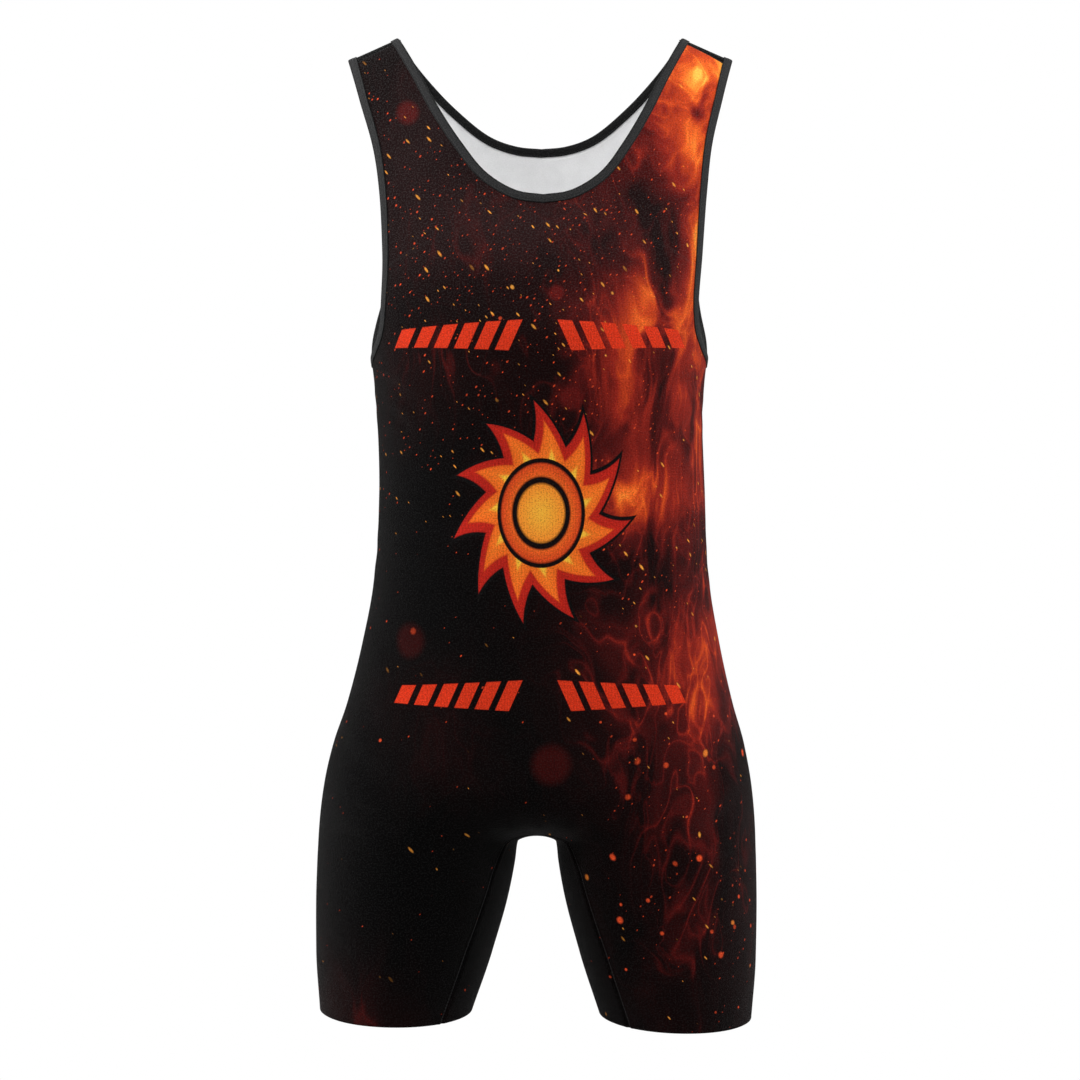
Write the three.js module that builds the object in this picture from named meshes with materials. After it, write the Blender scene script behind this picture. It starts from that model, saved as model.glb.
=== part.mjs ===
// A wrestling singlet, filled out as when it is worn, with nobody in it.
// Millimetres, +Z up. The wearer faces -Y, so +X is the wearer's left.
// The origin is midway between the two shoulders, level with the inner corners of the shoulder
// straps, where the shoulders hold the garment up.
//
// The pieces are those that a maker cuts: a front and a back, each in one piece from strap to
// leg hem, an inner-leg gusset that runs from hem to hem through the crotch, and folded binding
// round the neck and armholes, which stops at the shoulder and side seams.
import * as THREE from "three";
import { mergeVertices } from "three/addons/utils/BufferGeometryUtils.js";

// Cloth
const WALL = 1.5;
const SEAM_GAP = 0.3;
const BINDING_WIDTH = 6.2;
const BINDING_THICKNESS = 1.0;
const FOLD_SQUARENESS = 0.3;
const CLOTH_COLOUR = 0x161414;
const BINDING_COLOUR = 0x1c1c1c;
const ROUGHNESS = 0.85;

// Heights, measured down from the inner corners of the straps
const HEM_DROP = 828.5;
const NECK_FRONT_DROP = 147;
const NECK_BACK_DROP = 80;
const UNDERARM_DROP = 274;

// The worn garment hangs a little askew: the wearer's right hem is this much higher than the left,
// and the middle sways from side to side.
const HEM_ASKEW = 7.7;
const ASKEW_FROM = 640;
const HEM_HALF_WIDTH = 184;
const SWAY = [
  { drop: 0, x: 0 },
  { drop: 60, x: 0.8 },
  { drop: 140, x: 2.6 },
  { drop: 190, x: 2 },
  { drop: 240, x: -0.4 },
  { drop: 300, x: -0.6 },
  { drop: 390, x: 1.7 },
  { drop: 470, x: 1.2 },
  { drop: 560, x: 0 },
  { drop: 620, x: -1.7 },
  { drop: 700, x: -2.8 },
  { drop: 840, x: -3.8 },
];

// Shoulder: the strap tops lie on a ridge that slopes down to the arms
const RIDGE_X = 120.8;
const RIDGE_SLOPE = 0.436;
const SHOULDER_ROUNDING = 130;
const SLOPE_FADES_BY = 150;

// Gusset: above this drop its rows fan out round the top of the gap between the legs
const FAN_DROP = 712;
const GAP_REACH = 200;
const CROTCH_SEAM_FRONT = -34;
const CROTCH_SEAM_BACK = 48;
const FAN_CLOSES = 0.8;

// Cross-sections of one half of the body. Each is a rounded ring about a centre that moves out
// from the middle of the trunk into the leg.
//   side    how far the ring reaches out to the wearer's side
//   centre  how far its centre is from the middle
//   front, back  how far it reaches forward and back
//   mid     how far back its widest point lies
//   square  2 is an ellipse, more is squarer
//   web     how much cloth bridges the two legs, 1 being flush with the thighs
const SECTIONS = [
  { drop: 0, side: 186, centre: 0, front: 80, back: 70, mid: 0, square: 2.2, web: 0 },
  { drop: 60, side: 178, centre: 0, front: 82, back: 80, mid: 0, square: 2.25, web: 0 },
  { drop: 120, side: 167, centre: 0, front: 88, back: 92, mid: 0, square: 2.3, web: 0 },
  { drop: 180, side: 155.5, centre: 0, front: 99, back: 99, mid: 0, square: 2.35, web: 0 },
  { drop: 230, side: 147.8, centre: 0, front: 107, back: 100, mid: 0, square: 2.35, web: 0 },
  { drop: 275, side: 142.3, centre: 0, front: 110, back: 96, mid: 0, square: 2.35, web: 0 },
  { drop: 305, side: 139.4, centre: 0, front: 109, back: 91, mid: 0, square: 2.35, web: 0 },
  { drop: 343, side: 138, centre: 0, front: 106, back: 86, mid: 0, square: 2.3, web: 0 },
  { drop: 411, side: 139.1, centre: 0, front: 100, back: 79, mid: 0, square: 2.3, web: 0 },
  { drop: 462, side: 142.9, centre: 0, front: 98, back: 81, mid: 1, square: 2.3, web: 1 },
  { drop: 513, side: 151.9, centre: 4, front: 98, back: 91, mid: 3, square: 2.3, web: 1 },
  { drop: 565, side: 164.3, centre: 20, front: 99, back: 106, mid: 5, square: 2.3, web: 1 },
  { drop: 599, side: 175, centre: 42, front: 98, back: 114, mid: 7, square: 2.25, web: 1 },
  { drop: 633, side: 182.2, centre: 69, front: 96, back: 117, mid: 8, square: 2.2, web: 0.9 },
  { drop: 660, side: 185.5, centre: 90, front: 92, back: 115, mid: 9, square: 2.1, web: 0.62 },
  { drop: 672, side: 186.3, centre: 98, front: 90, back: 112, mid: 9, square: 2.1, web: 0.42 },
  { drop: 678, side: 186.6, centre: 100.6, front: 89, back: 110, mid: 9, square: 2.1, web: 0.33 },
  { drop: 688, side: 187, centre: 102, front: 88, back: 107, mid: 9, square: 2.1, web: 0.1 },
  { drop: 700, side: 187.5, centre: 102.9, front: 87, back: 105, mid: 9, square: 2.1, web: 0 },
  { drop: 735, side: 188.2, centre: 106.6, front: 84, back: 98, mid: 8, square: 2.1, web: 0 },
  { drop: 778, side: 187.7, centre: 112.4, front: 81, back: 90, mid: 6, square: 2.05, web: 0 },
  { drop: HEM_DROP, side: 184, centre: 119, front: 77, back: 82, mid: 4, square: 2.05, web: 0 },
];

// Cut edges of the cloth inside the binding, as seen from the front, from the strap downwards
const NECK_FRONT = [
  { x: 122, drop: 0 },
  { x: 101, drop: 40 },
  { x: 85, drop: 72 },
  { x: 67, drop: 102 },
  { x: 47, drop: 128 },
  { x: 22, drop: 143.5 },
  { x: 0, drop: NECK_FRONT_DROP },
];
const NECK_BACK = [
  { x: 122, drop: 0 },
  { x: 101, drop: 24 },
  { x: 76, drop: 48 },
  { x: 46, drop: 70 },
  { x: 22, drop: 78 },
  { x: 0, drop: NECK_BACK_DROP },
];
// The same for the armholes, by section and degrees from the side
const ARM_FRONT = [
  { drop: 0, angle: 30.4 },
  { drop: 52, angle: 34.4 },
  { drop: 99, angle: 37.4 },
  { drop: 140, angle: 36.9 },
  { drop: 179, angle: 34.6 },
  { drop: 212, angle: 32.2 },
  { drop: 236, angle: 29.5 },
  { drop: 251, angle: 26.5 },
  { drop: 261, angle: 21.5 },
  { drop: 268.5, angle: 14 },
  { drop: 272.5, angle: 6.5 },
  { drop: UNDERARM_DROP, angle: 0 },
];
const ARM_BACK = [
  { drop: 0, angle: 30.4 },
  { drop: 52, angle: 34 },
  { drop: 99, angle: 36.5 },
  { drop: 150, angle: 34.7 },
  { drop: 200, angle: 29 },
  { drop: 222, angle: 23.5 },
  { drop: 240, angle: 16.5 },
  { drop: 257, angle: 8 },
  { drop: 267, angle: 3.3 },
  { drop: UNDERARM_DROP, angle: 0 },
];

// Gusset seams on the leg, in degrees round it from the outer side
const GUSSET_SEAM = [
  { drop: FAN_DROP, front: 141, back: 140 },
  { drop: 740, front: 137, back: 137 },
  { drop: 780, front: 133, back: 133 },
  { drop: HEM_DROP, front: 129, back: 129 },
];

// Steps between the rows of a panel's mesh. A row joins a station on the panel's outer edge to
// one on its inner edge, which run beside each other like this:
//   neck     upper armhole  and  neckline
//   arm      lower armhole  and  the chest below the neckline
//   trunk    side seam      and  the middle, down to the gusset
//   crotch, leg  side seam  and  gusset seam
const NECK_STEPS = 12;
const ARM_STEPS = 12;
const TRUNK_STEPS = 18;
const CROTCH_STEPS = 5;
const LEG_STEPS = 6;
const COLUMNS = 12;
const GUSSET_COLUMNS = 8;
const UPPER_ARMHOLE_SHARE = 0.42;
const CHEST_DROP = 330;
const THIGH_DROP = 668;

// How finely the shapes are worked out
const EDGE_SAMPLES = 200;
const ROW_SAMPLES = 40;
const HALVINGS = 34;
const SLOPE_ROUNDS = 60;
const NORMAL_STEP = 0.4;
const NORMAL_TURN = 0.004;
const SCALE_RANGE = { from: 0.5, to: 4, step: 0.1 };
const OUTSIDE = 160;
const NEGLIGIBLE = 1e-6;
const AT_MIDDLE = 1e-4;
const WELD = 1e-3;

// A smooth curve through a table's rows that never overshoots them.
function curve(table, from, to) {
  const xs = table.map((row) => row[from]);
  const ys = table.map((row) => row[to]);
  const slope = xs.slice(1).map((x, i) => (ys[i + 1] - ys[i]) / (x - xs[i]));
  const tangent = ys.map((_, i) => {
    if (i === 0) return slope[0];
    if (i === ys.length - 1) return slope[i - 1];
    const [a, b] = [slope[i - 1], slope[i]];
    return a * b <= 0 ? 0 : (2 * a * b) / (a + b);
  });
  return (x) => {
    const last = xs.length - 2;
    let i = xs.findIndex((_, k) => k <= last && x <= xs[k + 1]);
    if (i < 0) i = last;
    const h = xs[i + 1] - xs[i];
    const t = THREE.MathUtils.clamp((x - xs[i]) / h, 0, 1);
    const u = 1 - t;
    return (
      ys[i] * u * u * (1 + 2 * t) +
      ys[i + 1] * t * t * (3 - 2 * t) +
      h * t * u * (tangent[i] * u - tangent[i + 1] * t)
    );
  };
}

// The share of its full depth that the trunk has at a drop, rounding over the shoulder.
function shoulderCap(drop) {
  const below = THREE.MathUtils.clamp(drop / SHOULDER_ROUNDING, 0, 1);
  return Math.sqrt(1 - (1 - below) ** 2);
}

const sectionNames = Object.keys(SECTIONS[0]).slice(1);
const sectionCurves = sectionNames.map((name) => curve(SECTIONS, "drop", name));
const knownSections = new Map();

// The cross-section at a drop, with its reach and depths measured from its own centre.
function sectionAt(drop) {
  if (!knownSections.has(drop)) {
    const values = sectionCurves.map((at) => at(drop));
    const s = Object.fromEntries(sectionNames.map((name, i) => [name, values[i]]));
    const cap = shoulderCap(drop);
    const reach = s.side - s.centre;
    const forward = cap * (s.front + s.mid);
    const backward = cap * (s.back - s.mid);
    const flush = 2 * reach + forward + backward;
    const blend = s.web * flush * (Math.hypot(s.centre / reach, 1) - 1);
    knownSections.set(drop, { ...s, reach, forward, backward, blend });
  }
  return knownSections.get(drop);
}

// How far the shoulder slope lifts a point, fading out down the chest.
function lift(x, drop) {
  const fade = THREE.MathUtils.clamp(1 - drop / SLOPE_FADES_BY, 0, 1) ** 2;
  return RIDGE_SLOPE * (RIDGE_X - x) * fade;
}

// The drop of the cross-section that passes through a height at some distance from the middle.
function dropOf(x, z) {
  let drop = -z;
  for (let i = 0; i < SLOPE_ROUNDS; i++) drop = Math.max(lift(x, drop) - z, 0);
  return drop;
}

// Signed distance, roughly, from one half's ring: negative inside.
function ringField(x, y, s) {
  const depth = y < s.mid ? s.forward : s.backward;
  const across = Math.abs((x - s.centre) / s.reach) ** s.square;
  const along = Math.abs((y - s.mid) / depth) ** s.square;
  return ((across + along) ** (1 / s.square) - 1) * ((s.reach + s.forward) / 2);
}

// Signed distance, roughly, from the body below the shoulders, its legs bridged by cloth.
function bodyField(x, y, z) {
  const s = sectionAt(-z);
  const here = ringField(x, y, s);
  const other = ringField(-x, y, s);
  const nearest = Math.min(here, other);
  if (s.blend < NEGLIGIBLE) return nearest;
  const overlap = Math.max(s.blend - Math.abs(here - other), 0) / s.blend;
  return nearest - (overlap * overlap * s.blend) / 4;
}

// The distance at which a field along a line first changes sign.
function crossing(field, start, end, step) {
  const sign = Math.sign(field(start));
  let near = start;
  while (near < end && Math.sign(field(near + step)) === sign) near += step;
  let far = near + step;
  for (let i = 0; i < HALVINGS; i++) {
    const between = (near + far) / 2;
    if (Math.sign(field(between)) === sign) near = between;
    else far = between;
  }
  return (near + far) / 2;
}

// A point of the outer surface of the left half. The angle is 0 at the side and a quarter turn
// at the front, or less than 0 on the back.
function surface({ angle, drop }) {
  const s = sectionAt(drop);
  const power = 2 / s.square;
  const [c, n] = [Math.cos(angle), Math.sin(angle)];
  const x = s.reach * Math.sign(c) * Math.abs(c) ** power;
  const depth = angle >= 0 ? s.forward : s.backward;
  const y = -depth * Math.sign(n) * Math.abs(n) ** power;
  const along = (k) => bodyField(s.centre + k * x, s.mid + k * y, -drop);
  const { from, to, step } = SCALE_RANGE;
  const scale = s.blend > NEGLIGIBLE ? crossing(along, from, to, step) : 1;
  const across = s.centre + scale * x;
  return new THREE.Vector3(across, s.mid + scale * y, lift(across, drop) - drop);
}

// The angle and drop of a point of the surface.
function located(point, face) {
  const drop = dropOf(point.x, point.z);
  const s = sectionAt(drop);
  const depth = face > 0 ? s.forward : s.backward;
  const across = (point.x - s.centre) / s.reach;
  const along = Math.abs(point.y - s.mid) / depth;
  const half = s.square / 2;
  const angle = Math.atan2(along ** half, Math.sign(across) * Math.abs(across) ** half);
  return { angle: face * angle, drop };
}

// The angle and drop of a point of the trunk that is seen from the front at a given place.
function seenAt(x, z, face) {
  const drop = dropOf(x, z);
  const s = sectionAt(drop);
  const ratio = THREE.MathUtils.clamp(x / s.side, 0, 1);
  return { angle: face * Math.acos(ratio ** (s.square / 2)), drop };
}

// The outward normal of the surface at a point, given its angle and drop.
function normalAt(point, { angle, drop }) {
  const e = NORMAL_STEP;
  if (drop <= e) return new THREE.Vector3(RIDGE_SLOPE, 0, 1).normalize();
  const { x, y, z } = point;
  if (drop > SLOPE_FADES_BY + e) {
    return new THREE.Vector3(
      bodyField(x + e, y, z) - bodyField(x - e, y, z),
      bodyField(x, y + e, z) - bodyField(x, y - e, z),
      bodyField(x, y, z + e) - bodyField(x, y, z - e),
    ).normalize();
  }
  const turn = NORMAL_TURN;
  const round = surface({ angle: angle + turn, drop }).sub(surface({ angle: angle - turn, drop }));
  const down = surface({ angle, drop: drop + e }).sub(surface({ angle, drop: drop - e }));
  return round.cross(down).normalize();
}

// Places at equal spacing along a path, which is a function of a share from 0 to 1.
function spaced(path, steps, fine = EDGE_SAMPLES) {
  const points = Array.from({ length: fine + 1 }, (_, i) => surface(path(i / fine)));
  const run = [0];
  points.slice(1).forEach((p, i) => run.push(run[i] + p.distanceTo(points[i])));
  return Array.from({ length: steps + 1 }, (_, i) => {
    const wanted = (run[fine] * i) / steps;
    let k = 0;
    while (k < fine - 1 && run[k + 1] < wanted) k++;
    const share = (wanted - run[k]) / Math.max(run[k + 1] - run[k], NEGLIGIBLE);
    return path((k + THREE.MathUtils.clamp(share, 0, 1)) / fine);
  });
}

// An edge table as a path of places, on the front (+1) or the back (-1).
function edgePath(table, face) {
  const corners = table.map((row) => new THREE.Vector3(row.x ?? row.angle, row.drop, 0));
  const line = new THREE.CatmullRomCurve3(corners, false, "centripetal");
  return (share) => {
    const p = line.getPoint(share);
    if ("x" in table[0]) return seenAt(Math.max(p.x, 0), -p.y, face);
    return { angle: face * THREE.MathUtils.degToRad(p.x), drop: p.y };
  };
}

// The middle of the front or back, at a drop below the neckline.
function middle(drop, face) {
  const gap = crossing((d) => bodyField(0, face * (d - OUTSIDE), -drop), 0, OUTSIDE, 1);
  return located(new THREE.Vector3(0, face * (gap - OUTSIDE), lift(0, drop) - drop), face);
}

const sidePath = (from, to) => (share) => ({ angle: 0, drop: from + (to - from) * share });
const middlePath = (from, to, face) => (share) => middle(from + (to - from) * share, face);
const partOf = (path, from, to) => (share) => path(from + (to - from) * share);

// The gusset's rows, from the middle of the crotch to the hem, with their fan angle.
const gussetRows = [
  ...Array.from({ length: CROTCH_STEPS }, (_, i) => ({
    drop: FAN_DROP,
    turn: (Math.PI / 2) * (1 - i / CROTCH_STEPS) ** FAN_CLOSES,
  })),
  ...Array.from({ length: LEG_STEPS + 1 }, (_, i) => ({
    drop: THREE.MathUtils.lerp(FAN_DROP, HEM_DROP, i / LEG_STEPS),
    turn: 0,
  })),
];

// A point of the surface that faces the gap between the legs, straight along a row of the gusset.
function gapPoint(y, { drop, turn }) {
  const [across, up] = [Math.cos(turn), Math.sin(turn)];
  const reach = crossing((d) => bodyField(d * across, y, d * up - drop), 0, GAP_REACH, 1);
  const x = turn === gussetRows[0].turn ? 0 : reach * across;
  return new THREE.Vector3(x, y, reach * up - drop);
}

const seamAngle = {
  "1": curve(GUSSET_SEAM, "drop", "front"),
  "-1": curve(GUSSET_SEAM, "drop", "back"),
};

// How far forward or back the gusset's seam lies at one of its rows.
function seamY(row, face) {
  const angle = face * THREE.MathUtils.degToRad(seamAngle[face](row.drop));
  const onLeg = surface({ angle, drop: row.drop }).y;
  const atMiddle = face > 0 ? CROTCH_SEAM_FRONT : CROTCH_SEAM_BACK;
  return THREE.MathUtils.lerp(onLeg, atMiddle, Math.sin(row.turn) ** 2);
}

// A place of the surface with its point and normal.
function pin(place) {
  const point = surface(place);
  const normal = normalAt(point, place);
  if (Math.abs(point.x) < AT_MIDDLE) {
    point.x = 0;
    normal.setX(0).normalize();
  }
  return { place, point, normal };
}

// The places just under the binding's inner border, beside those of an edge. It sets out along
// the strap's top and keeps to the side on which the panel lies. Its last is given, unless the
// edge runs straight across the middle there.
function bindingBorder(edge, opposite, face, last) {
  const pins = edge.map(pin);
  const strapWay = Math.sign(surface(opposite[0]).x - pins[0].point.x);
  const onRidge = pins[0].point.x + strapWay * BINDING_WIDTH;
  const across = edge.map((_, k) => {
    const tangent = new THREE.Vector3(-1, 0, 0);
    if (k > 0 && k < edge.length - 1) tangent.subVectors(pins[k + 1].point, pins[k - 1].point);
    return tangent.cross(pins[k].normal).setLength(BINDING_WIDTH);
  });
  const side = Math.sign(across[1].dot(surface(opposite[1]).sub(pins[1].point)));
  return edge.map((_, k) => {
    if (k === 0) return seenAt(onRidge, lift(onRidge, 0), face);
    if (k === edge.length - 1 && last) return last;
    return located(pins[k].point.clone().addScaledVector(across[k], side), face);
  });
}

// One panel: the rows of pins of its left half, from the outer edge to the inner one.
function panelRows(neck, arm, face) {
  const crotch = located(gapPoint(seamY(gussetRows[0], face), gussetRows[0]), face).drop;
  const neckDrop = dropOf(0, -neck.at(-1).drop);
  const neckline = spaced(edgePath(neck, face), NECK_STEPS);
  const armhole = [
    ...spaced(partOf(edgePath(arm, face), 0, UPPER_ARMHOLE_SHARE), NECK_STEPS),
    ...spaced(partOf(edgePath(arm, face), UPPER_ARMHOLE_SHARE, 1), ARM_STEPS).slice(1),
  ];
  armhole[armhole.length - 1] = { angle: 0, drop: UNDERARM_DROP };
  const inner = [
    ...neckline,
    ...spaced(middlePath(neckDrop, CHEST_DROP, face), ARM_STEPS).slice(1),
    ...spaced(middlePath(CHEST_DROP, crotch, face), TRUNK_STEPS).slice(1, -1),
    ...gussetRows.map((row) => located(gapPoint(seamY(row, face), row), face)),
  ];
  const outer = [
    ...armhole,
    ...spaced(sidePath(UNDERARM_DROP, THIGH_DROP), TRUNK_STEPS).slice(1),
    ...spaced(sidePath(THIGH_DROP, HEM_DROP), CROTCH_STEPS + LEG_STEPS).slice(1),
  ];
  const neckBorder = bindingBorder(neckline, outer, face);
  const underarm = { angle: 0, drop: UNDERARM_DROP + BINDING_WIDTH };
  const armBorder = bindingBorder(armhole, inner, face, underarm);
  return outer.map((start, k) => {
    const from = armBorder[k] ?? start;
    const to = neckBorder[k] ?? inner[k];
    const row = (share) => ({
      angle: THREE.MathUtils.lerp(from.angle, to.angle, share),
      drop: THREE.MathUtils.lerp(from.drop, to.drop, share),
    });
    return [start, ...spaced(row, COLUMNS, ROW_SAMPLES), inner[k]].map(pin);
  });
}

// Draw a line of pins aside, square to the line, to leave a seam's gap on a pin's own side.
function drawAside(line, towards, tangentAt) {
  const shifts = line.map(({ normal }, k) => {
    const across = tangentAt(k).cross(normal).normalize();
    if (across.dot(towards) < 0) across.negate();
    return across.multiplyScalar(SEAM_GAP / 2);
  });
  line.forEach(({ point }, k) => point.add(shifts[k]));
}

// The direction of a line of pins at one of them.
function directionAt(line, k) {
  const next = line[Math.min(k + 1, line.length - 1)].point;
  return next.clone().sub(line[Math.max(k - 1, 0)].point);
}

// Part a panel's half from its neighbours: at the shoulder, down the side and at the gusset.
function partSeams(rows, face) {
  const towards = new THREE.Vector3(0, -face, 0);
  const acrossMiddle = new THREE.Vector3(1, 0, 0);
  const down = new THREE.Vector3(0, 0, -1);
  rows[0].forEach(({ point }) => point.setY((-face * SEAM_GAP) / 2));
  const side = rows.slice(NECK_STEPS + ARM_STEPS).map((row) => row[0]);
  const underarm = rows[NECK_STEPS + ARM_STEPS][1];
  drawAside([...side, underarm], towards, () => down.clone());
  rows.slice(NECK_STEPS + ARM_STEPS + 1).forEach((row) => row[1].point.copy(row[0].point));
  const gussetLine = rows.slice(NECK_STEPS + ARM_STEPS + TRUNK_STEPS).map((row) => row.at(-1));
  const along = gussetLine.map((_, k) => directionAt(gussetLine, k));
  drawAside(gussetLine, towards, (k) => (k === 0 ? acrossMiddle.clone() : along[k]));
  rows.slice(NECK_STEPS + ARM_STEPS + TRUNK_STEPS).forEach((row) => {
    row.at(-2).point.copy(row.at(-1).point);
  });
  return rows;
}

// The gusset's left half: rows of pins from its front seam to its back seam.
function gussetGrid() {
  const grid = gussetRows.map((row) => {
    const [front, back] = [seamY(row, 1), seamY(row, -1)];
    return Array.from({ length: GUSSET_COLUMNS + 1 }, (_, j) => {
      const y = THREE.MathUtils.lerp(front, back, j / GUSSET_COLUMNS);
      const point = gapPoint(y, row);
      const normal = normalAt(point, { angle: 0, drop: -point.z });
      if (point.x === 0) normal.setX(0).normalize();
      return { point, normal };
    });
  });
  for (const [column, face] of [[0, 1], [GUSSET_COLUMNS, -1]]) {
    const line = grid.map((row) => row[column]);
    const along = line.map((_, k) => directionAt(line, k));
    const inwards = new THREE.Vector3(0, face, 0);
    drawAside(line, inwards, (k) => (k === 0 ? new THREE.Vector3(1, 0, 0) : along[k]));
  }
  return grid;
}

const mirrored = ({ point, normal }) => ({
  point: new THREE.Vector3(-point.x, point.y, point.z),
  normal: new THREE.Vector3(-normal.x, normal.y, normal.z),
});

const sway = curve(SWAY, "drop", "x");

// Lower the wearer's left hem and raise the right one, less and less up to the thighs.
function askew(point) {
  point.x += sway(-point.z);
  const share = THREE.MathUtils.smoothstep(-point.z, ASKEW_FROM, HEM_DROP);
  point.z -= (share * HEM_ASKEW * point.x) / (2 * HEM_HALF_WIDTH);
}

// A closed geometry from points and triangles, hung askew and turned right side out.
function solid(points, triangles) {
  points.forEach(askew);
  const [a, b, c] = [0, 1, 2].map(() => new THREE.Vector3());
  const volume = triangles.reduce((sum, [i, j, k]) => {
    a.copy(points[i]);
    b.copy(points[j]);
    c.copy(points[k]);
    return sum + a.dot(b.cross(c));
  }, 0);
  const faces = volume < 0 ? triangles.map(([i, j, k]) => [i, k, j]) : triangles;
  const geometry = new THREE.BufferGeometry();
  geometry.setAttribute("position", new THREE.Float32BufferAttribute(points.flatMap((p) => p.toArray()), 3));
  geometry.setIndex(faces.flat());
  return mergeVertices(geometry, WELD);
}

// A cloth wall from a half grid of pins and its mirror image, which share the middle.
function wall(grid) {
  const pins = [];
  const known = new Map();
  const indexOf = (p) => {
    const key = p.point.toArray().map((v) => Math.round(v / WELD)).join();
    if (!known.has(key)) known.set(key, pins.push({ point: p.point, normal: p.normal }) - 1);
    return known.get(key);
  };
  const outside = [];
  const addTriangle = (...corners) => {
    const [p, q, r] = corners.map((i) => pins[i].point);
    const area = q.clone().sub(p).cross(r.clone().sub(p)).length();
    if (area > WELD) outside.push(corners);
  };
  const half = grid.map((row) => row.map(indexOf));
  const otherHalf = grid.map((row) => row.map((p) => indexOf(mirrored(p))));
  // Each quad is split from its corner on the panel's own edge, as the binding's are.
  const addQuads = (ids, flip) => {
    for (let r = 0; r + 1 < ids.length; r++) {
      for (let c = 0; c + 1 < ids[r].length; c++) {
        const near = c < (ids[r].length - 1) / 2;
        const [edge, border] = near ? [c, c + 1] : [c + 1, c];
        const [i, j, k, l] = [ids[r][edge], ids[r][border], ids[r + 1][border], ids[r + 1][edge]];
        const reversed = near === flip;
        addTriangle(...(reversed ? [i, k, j] : [i, j, k]));
        addTriangle(...(reversed ? [i, l, k] : [i, k, l]));
      }
    }
  };
  addQuads(half, false);
  addQuads(otherHalf, true);

  const count = pins.length;
  const points = [
    ...pins.map((p) => p.point.clone()),
    ...pins.map((p) => p.point.clone().addScaledVector(p.normal, -WALL)),
  ];
  const inside = outside.map(([i, j, k]) => [i + count, k + count, j + count]);
  const edges = new Set(outside.flatMap(([i, j, k]) => [`${i},${j}`, `${j},${k}`, `${k},${i}`]));
  const rim = [...edges]
    .map((edge) => edge.split(",").map(Number))
    .filter(([i, j]) => !edges.has(`${j},${i}`))
    .flatMap(([i, j]) => {
      const outermost = Math.abs(points[i].x) > Math.abs(points[j].x);
      if (outermost) return [[j, i, j + count], [i, i + count, j + count]];
      return [[j, i, i + count], [j, i + count, j + count]];
    });
  return solid(points, [...outside, ...inside, ...rim]);
}

// The binding's cross-section, folded over the cloth from one face to the other. Each row says
// whether a corner is beside the edge or at the border, how far it is past the edge, and how far
// it stands off the outer face, or off the inner face where it is under the cloth.
const CLEAR = SEAM_GAP;
const PROUD = SEAM_GAP + BINDING_THICKNESS;
const ROUNDED = SEAM_GAP + FOLD_SQUARENESS * BINDING_THICKNESS;
const BINDING_SECTION = [
  { border: true, past: 0, off: CLEAR, under: false },
  { border: true, past: 0, off: PROUD, under: false },
  { border: false, past: ROUNDED, off: PROUD, under: false },
  { border: false, past: PROUD, off: ROUNDED, under: false },
  { border: false, past: PROUD, off: ROUNDED, under: true },
  { border: false, past: ROUNDED, off: PROUD, under: true },
  { border: true, past: 0, off: PROUD, under: true },
  { border: true, past: 0, off: CLEAR, under: true },
  { border: false, past: CLEAR, off: CLEAR, under: true },
  { border: false, past: CLEAR, off: CLEAR, under: false },
];
const SECTION_TRIANGLES = [
  [0, 1, 2],
  [0, 2, 9],
  [2, 3, 9],
  [3, 4, 9],
  [4, 8, 9],
  [4, 5, 8],
  [5, 6, 7],
  [5, 7, 8],
];

// A binding along a line of stations, each with a pin on the edge and one at the border.
function binding(stations) {
  const size = BINDING_SECTION.length;
  const points = stations.flatMap(({ edge, border }) => {
    const past = edge.point.clone().sub(border.point);
    past.addScaledVector(edge.normal, -past.dot(edge.normal)).normalize();
    return BINDING_SECTION.map((corner) => {
      const base = corner.border ? border : edge;
      const off = corner.under ? -WALL - corner.off : corner.off;
      return base.point
        .clone()
        .addScaledVector(base.normal, off)
        .addScaledVector(past, corner.past);
    });
  });
  const last = (stations.length - 1) * size;
  const triangles = [
    ...SECTION_TRIANGLES.map(([i, j, k]) => [i, k, j]),
    ...SECTION_TRIANGLES.map((corners) => corners.map((i) => i + last)),
  ];
  for (let s = 0; s < last; s += size) {
    for (let i = 0; i < size; i++) {
      const next = (i + 1) % size;
      const [a, b, c, d] = [s + i, s + next, s + size + next, s + size + i];
      const leavesBorder = BINDING_SECTION[i].border && !BINDING_SECTION[next].border;
      if (leavesBorder) triangles.push([a, b, d], [b, c, d]);
      else triangles.push([a, b, c], [a, c, d]);
    }
  }
  return solid(points, triangles);
}

const neckStations = (rows) => {
  const left = rows.slice(0, NECK_STEPS + 1).map((row) => ({ edge: row.at(-1), border: row.at(-2) }));
  const right = left.map(({ edge, border }) => ({ edge: mirrored(edge), border: mirrored(border) }));
  return [...left, ...right.reverse().slice(1)];
};
const armStations = (rows) =>
  rows.slice(0, NECK_STEPS + ARM_STEPS + 1).map((row) => ({ edge: row[0], border: row[1] }));
const onTheRight = (stations) =>
  stations.map(({ edge, border }) => ({ edge: mirrored(edge), border: mirrored(border) }));

const cloth = new THREE.MeshStandardMaterial({ color: CLOTH_COLOUR, roughness: ROUGHNESS, metalness: 0 });
const tape = new THREE.MeshStandardMaterial({ color: BINDING_COLOUR, roughness: ROUGHNESS, metalness: 0 });

const singlet = new THREE.Group();

function add(name, geometry, material) {
  const mesh = new THREE.Mesh(geometry, material);
  mesh.name = name;
  singlet.add(mesh);
}

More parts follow.
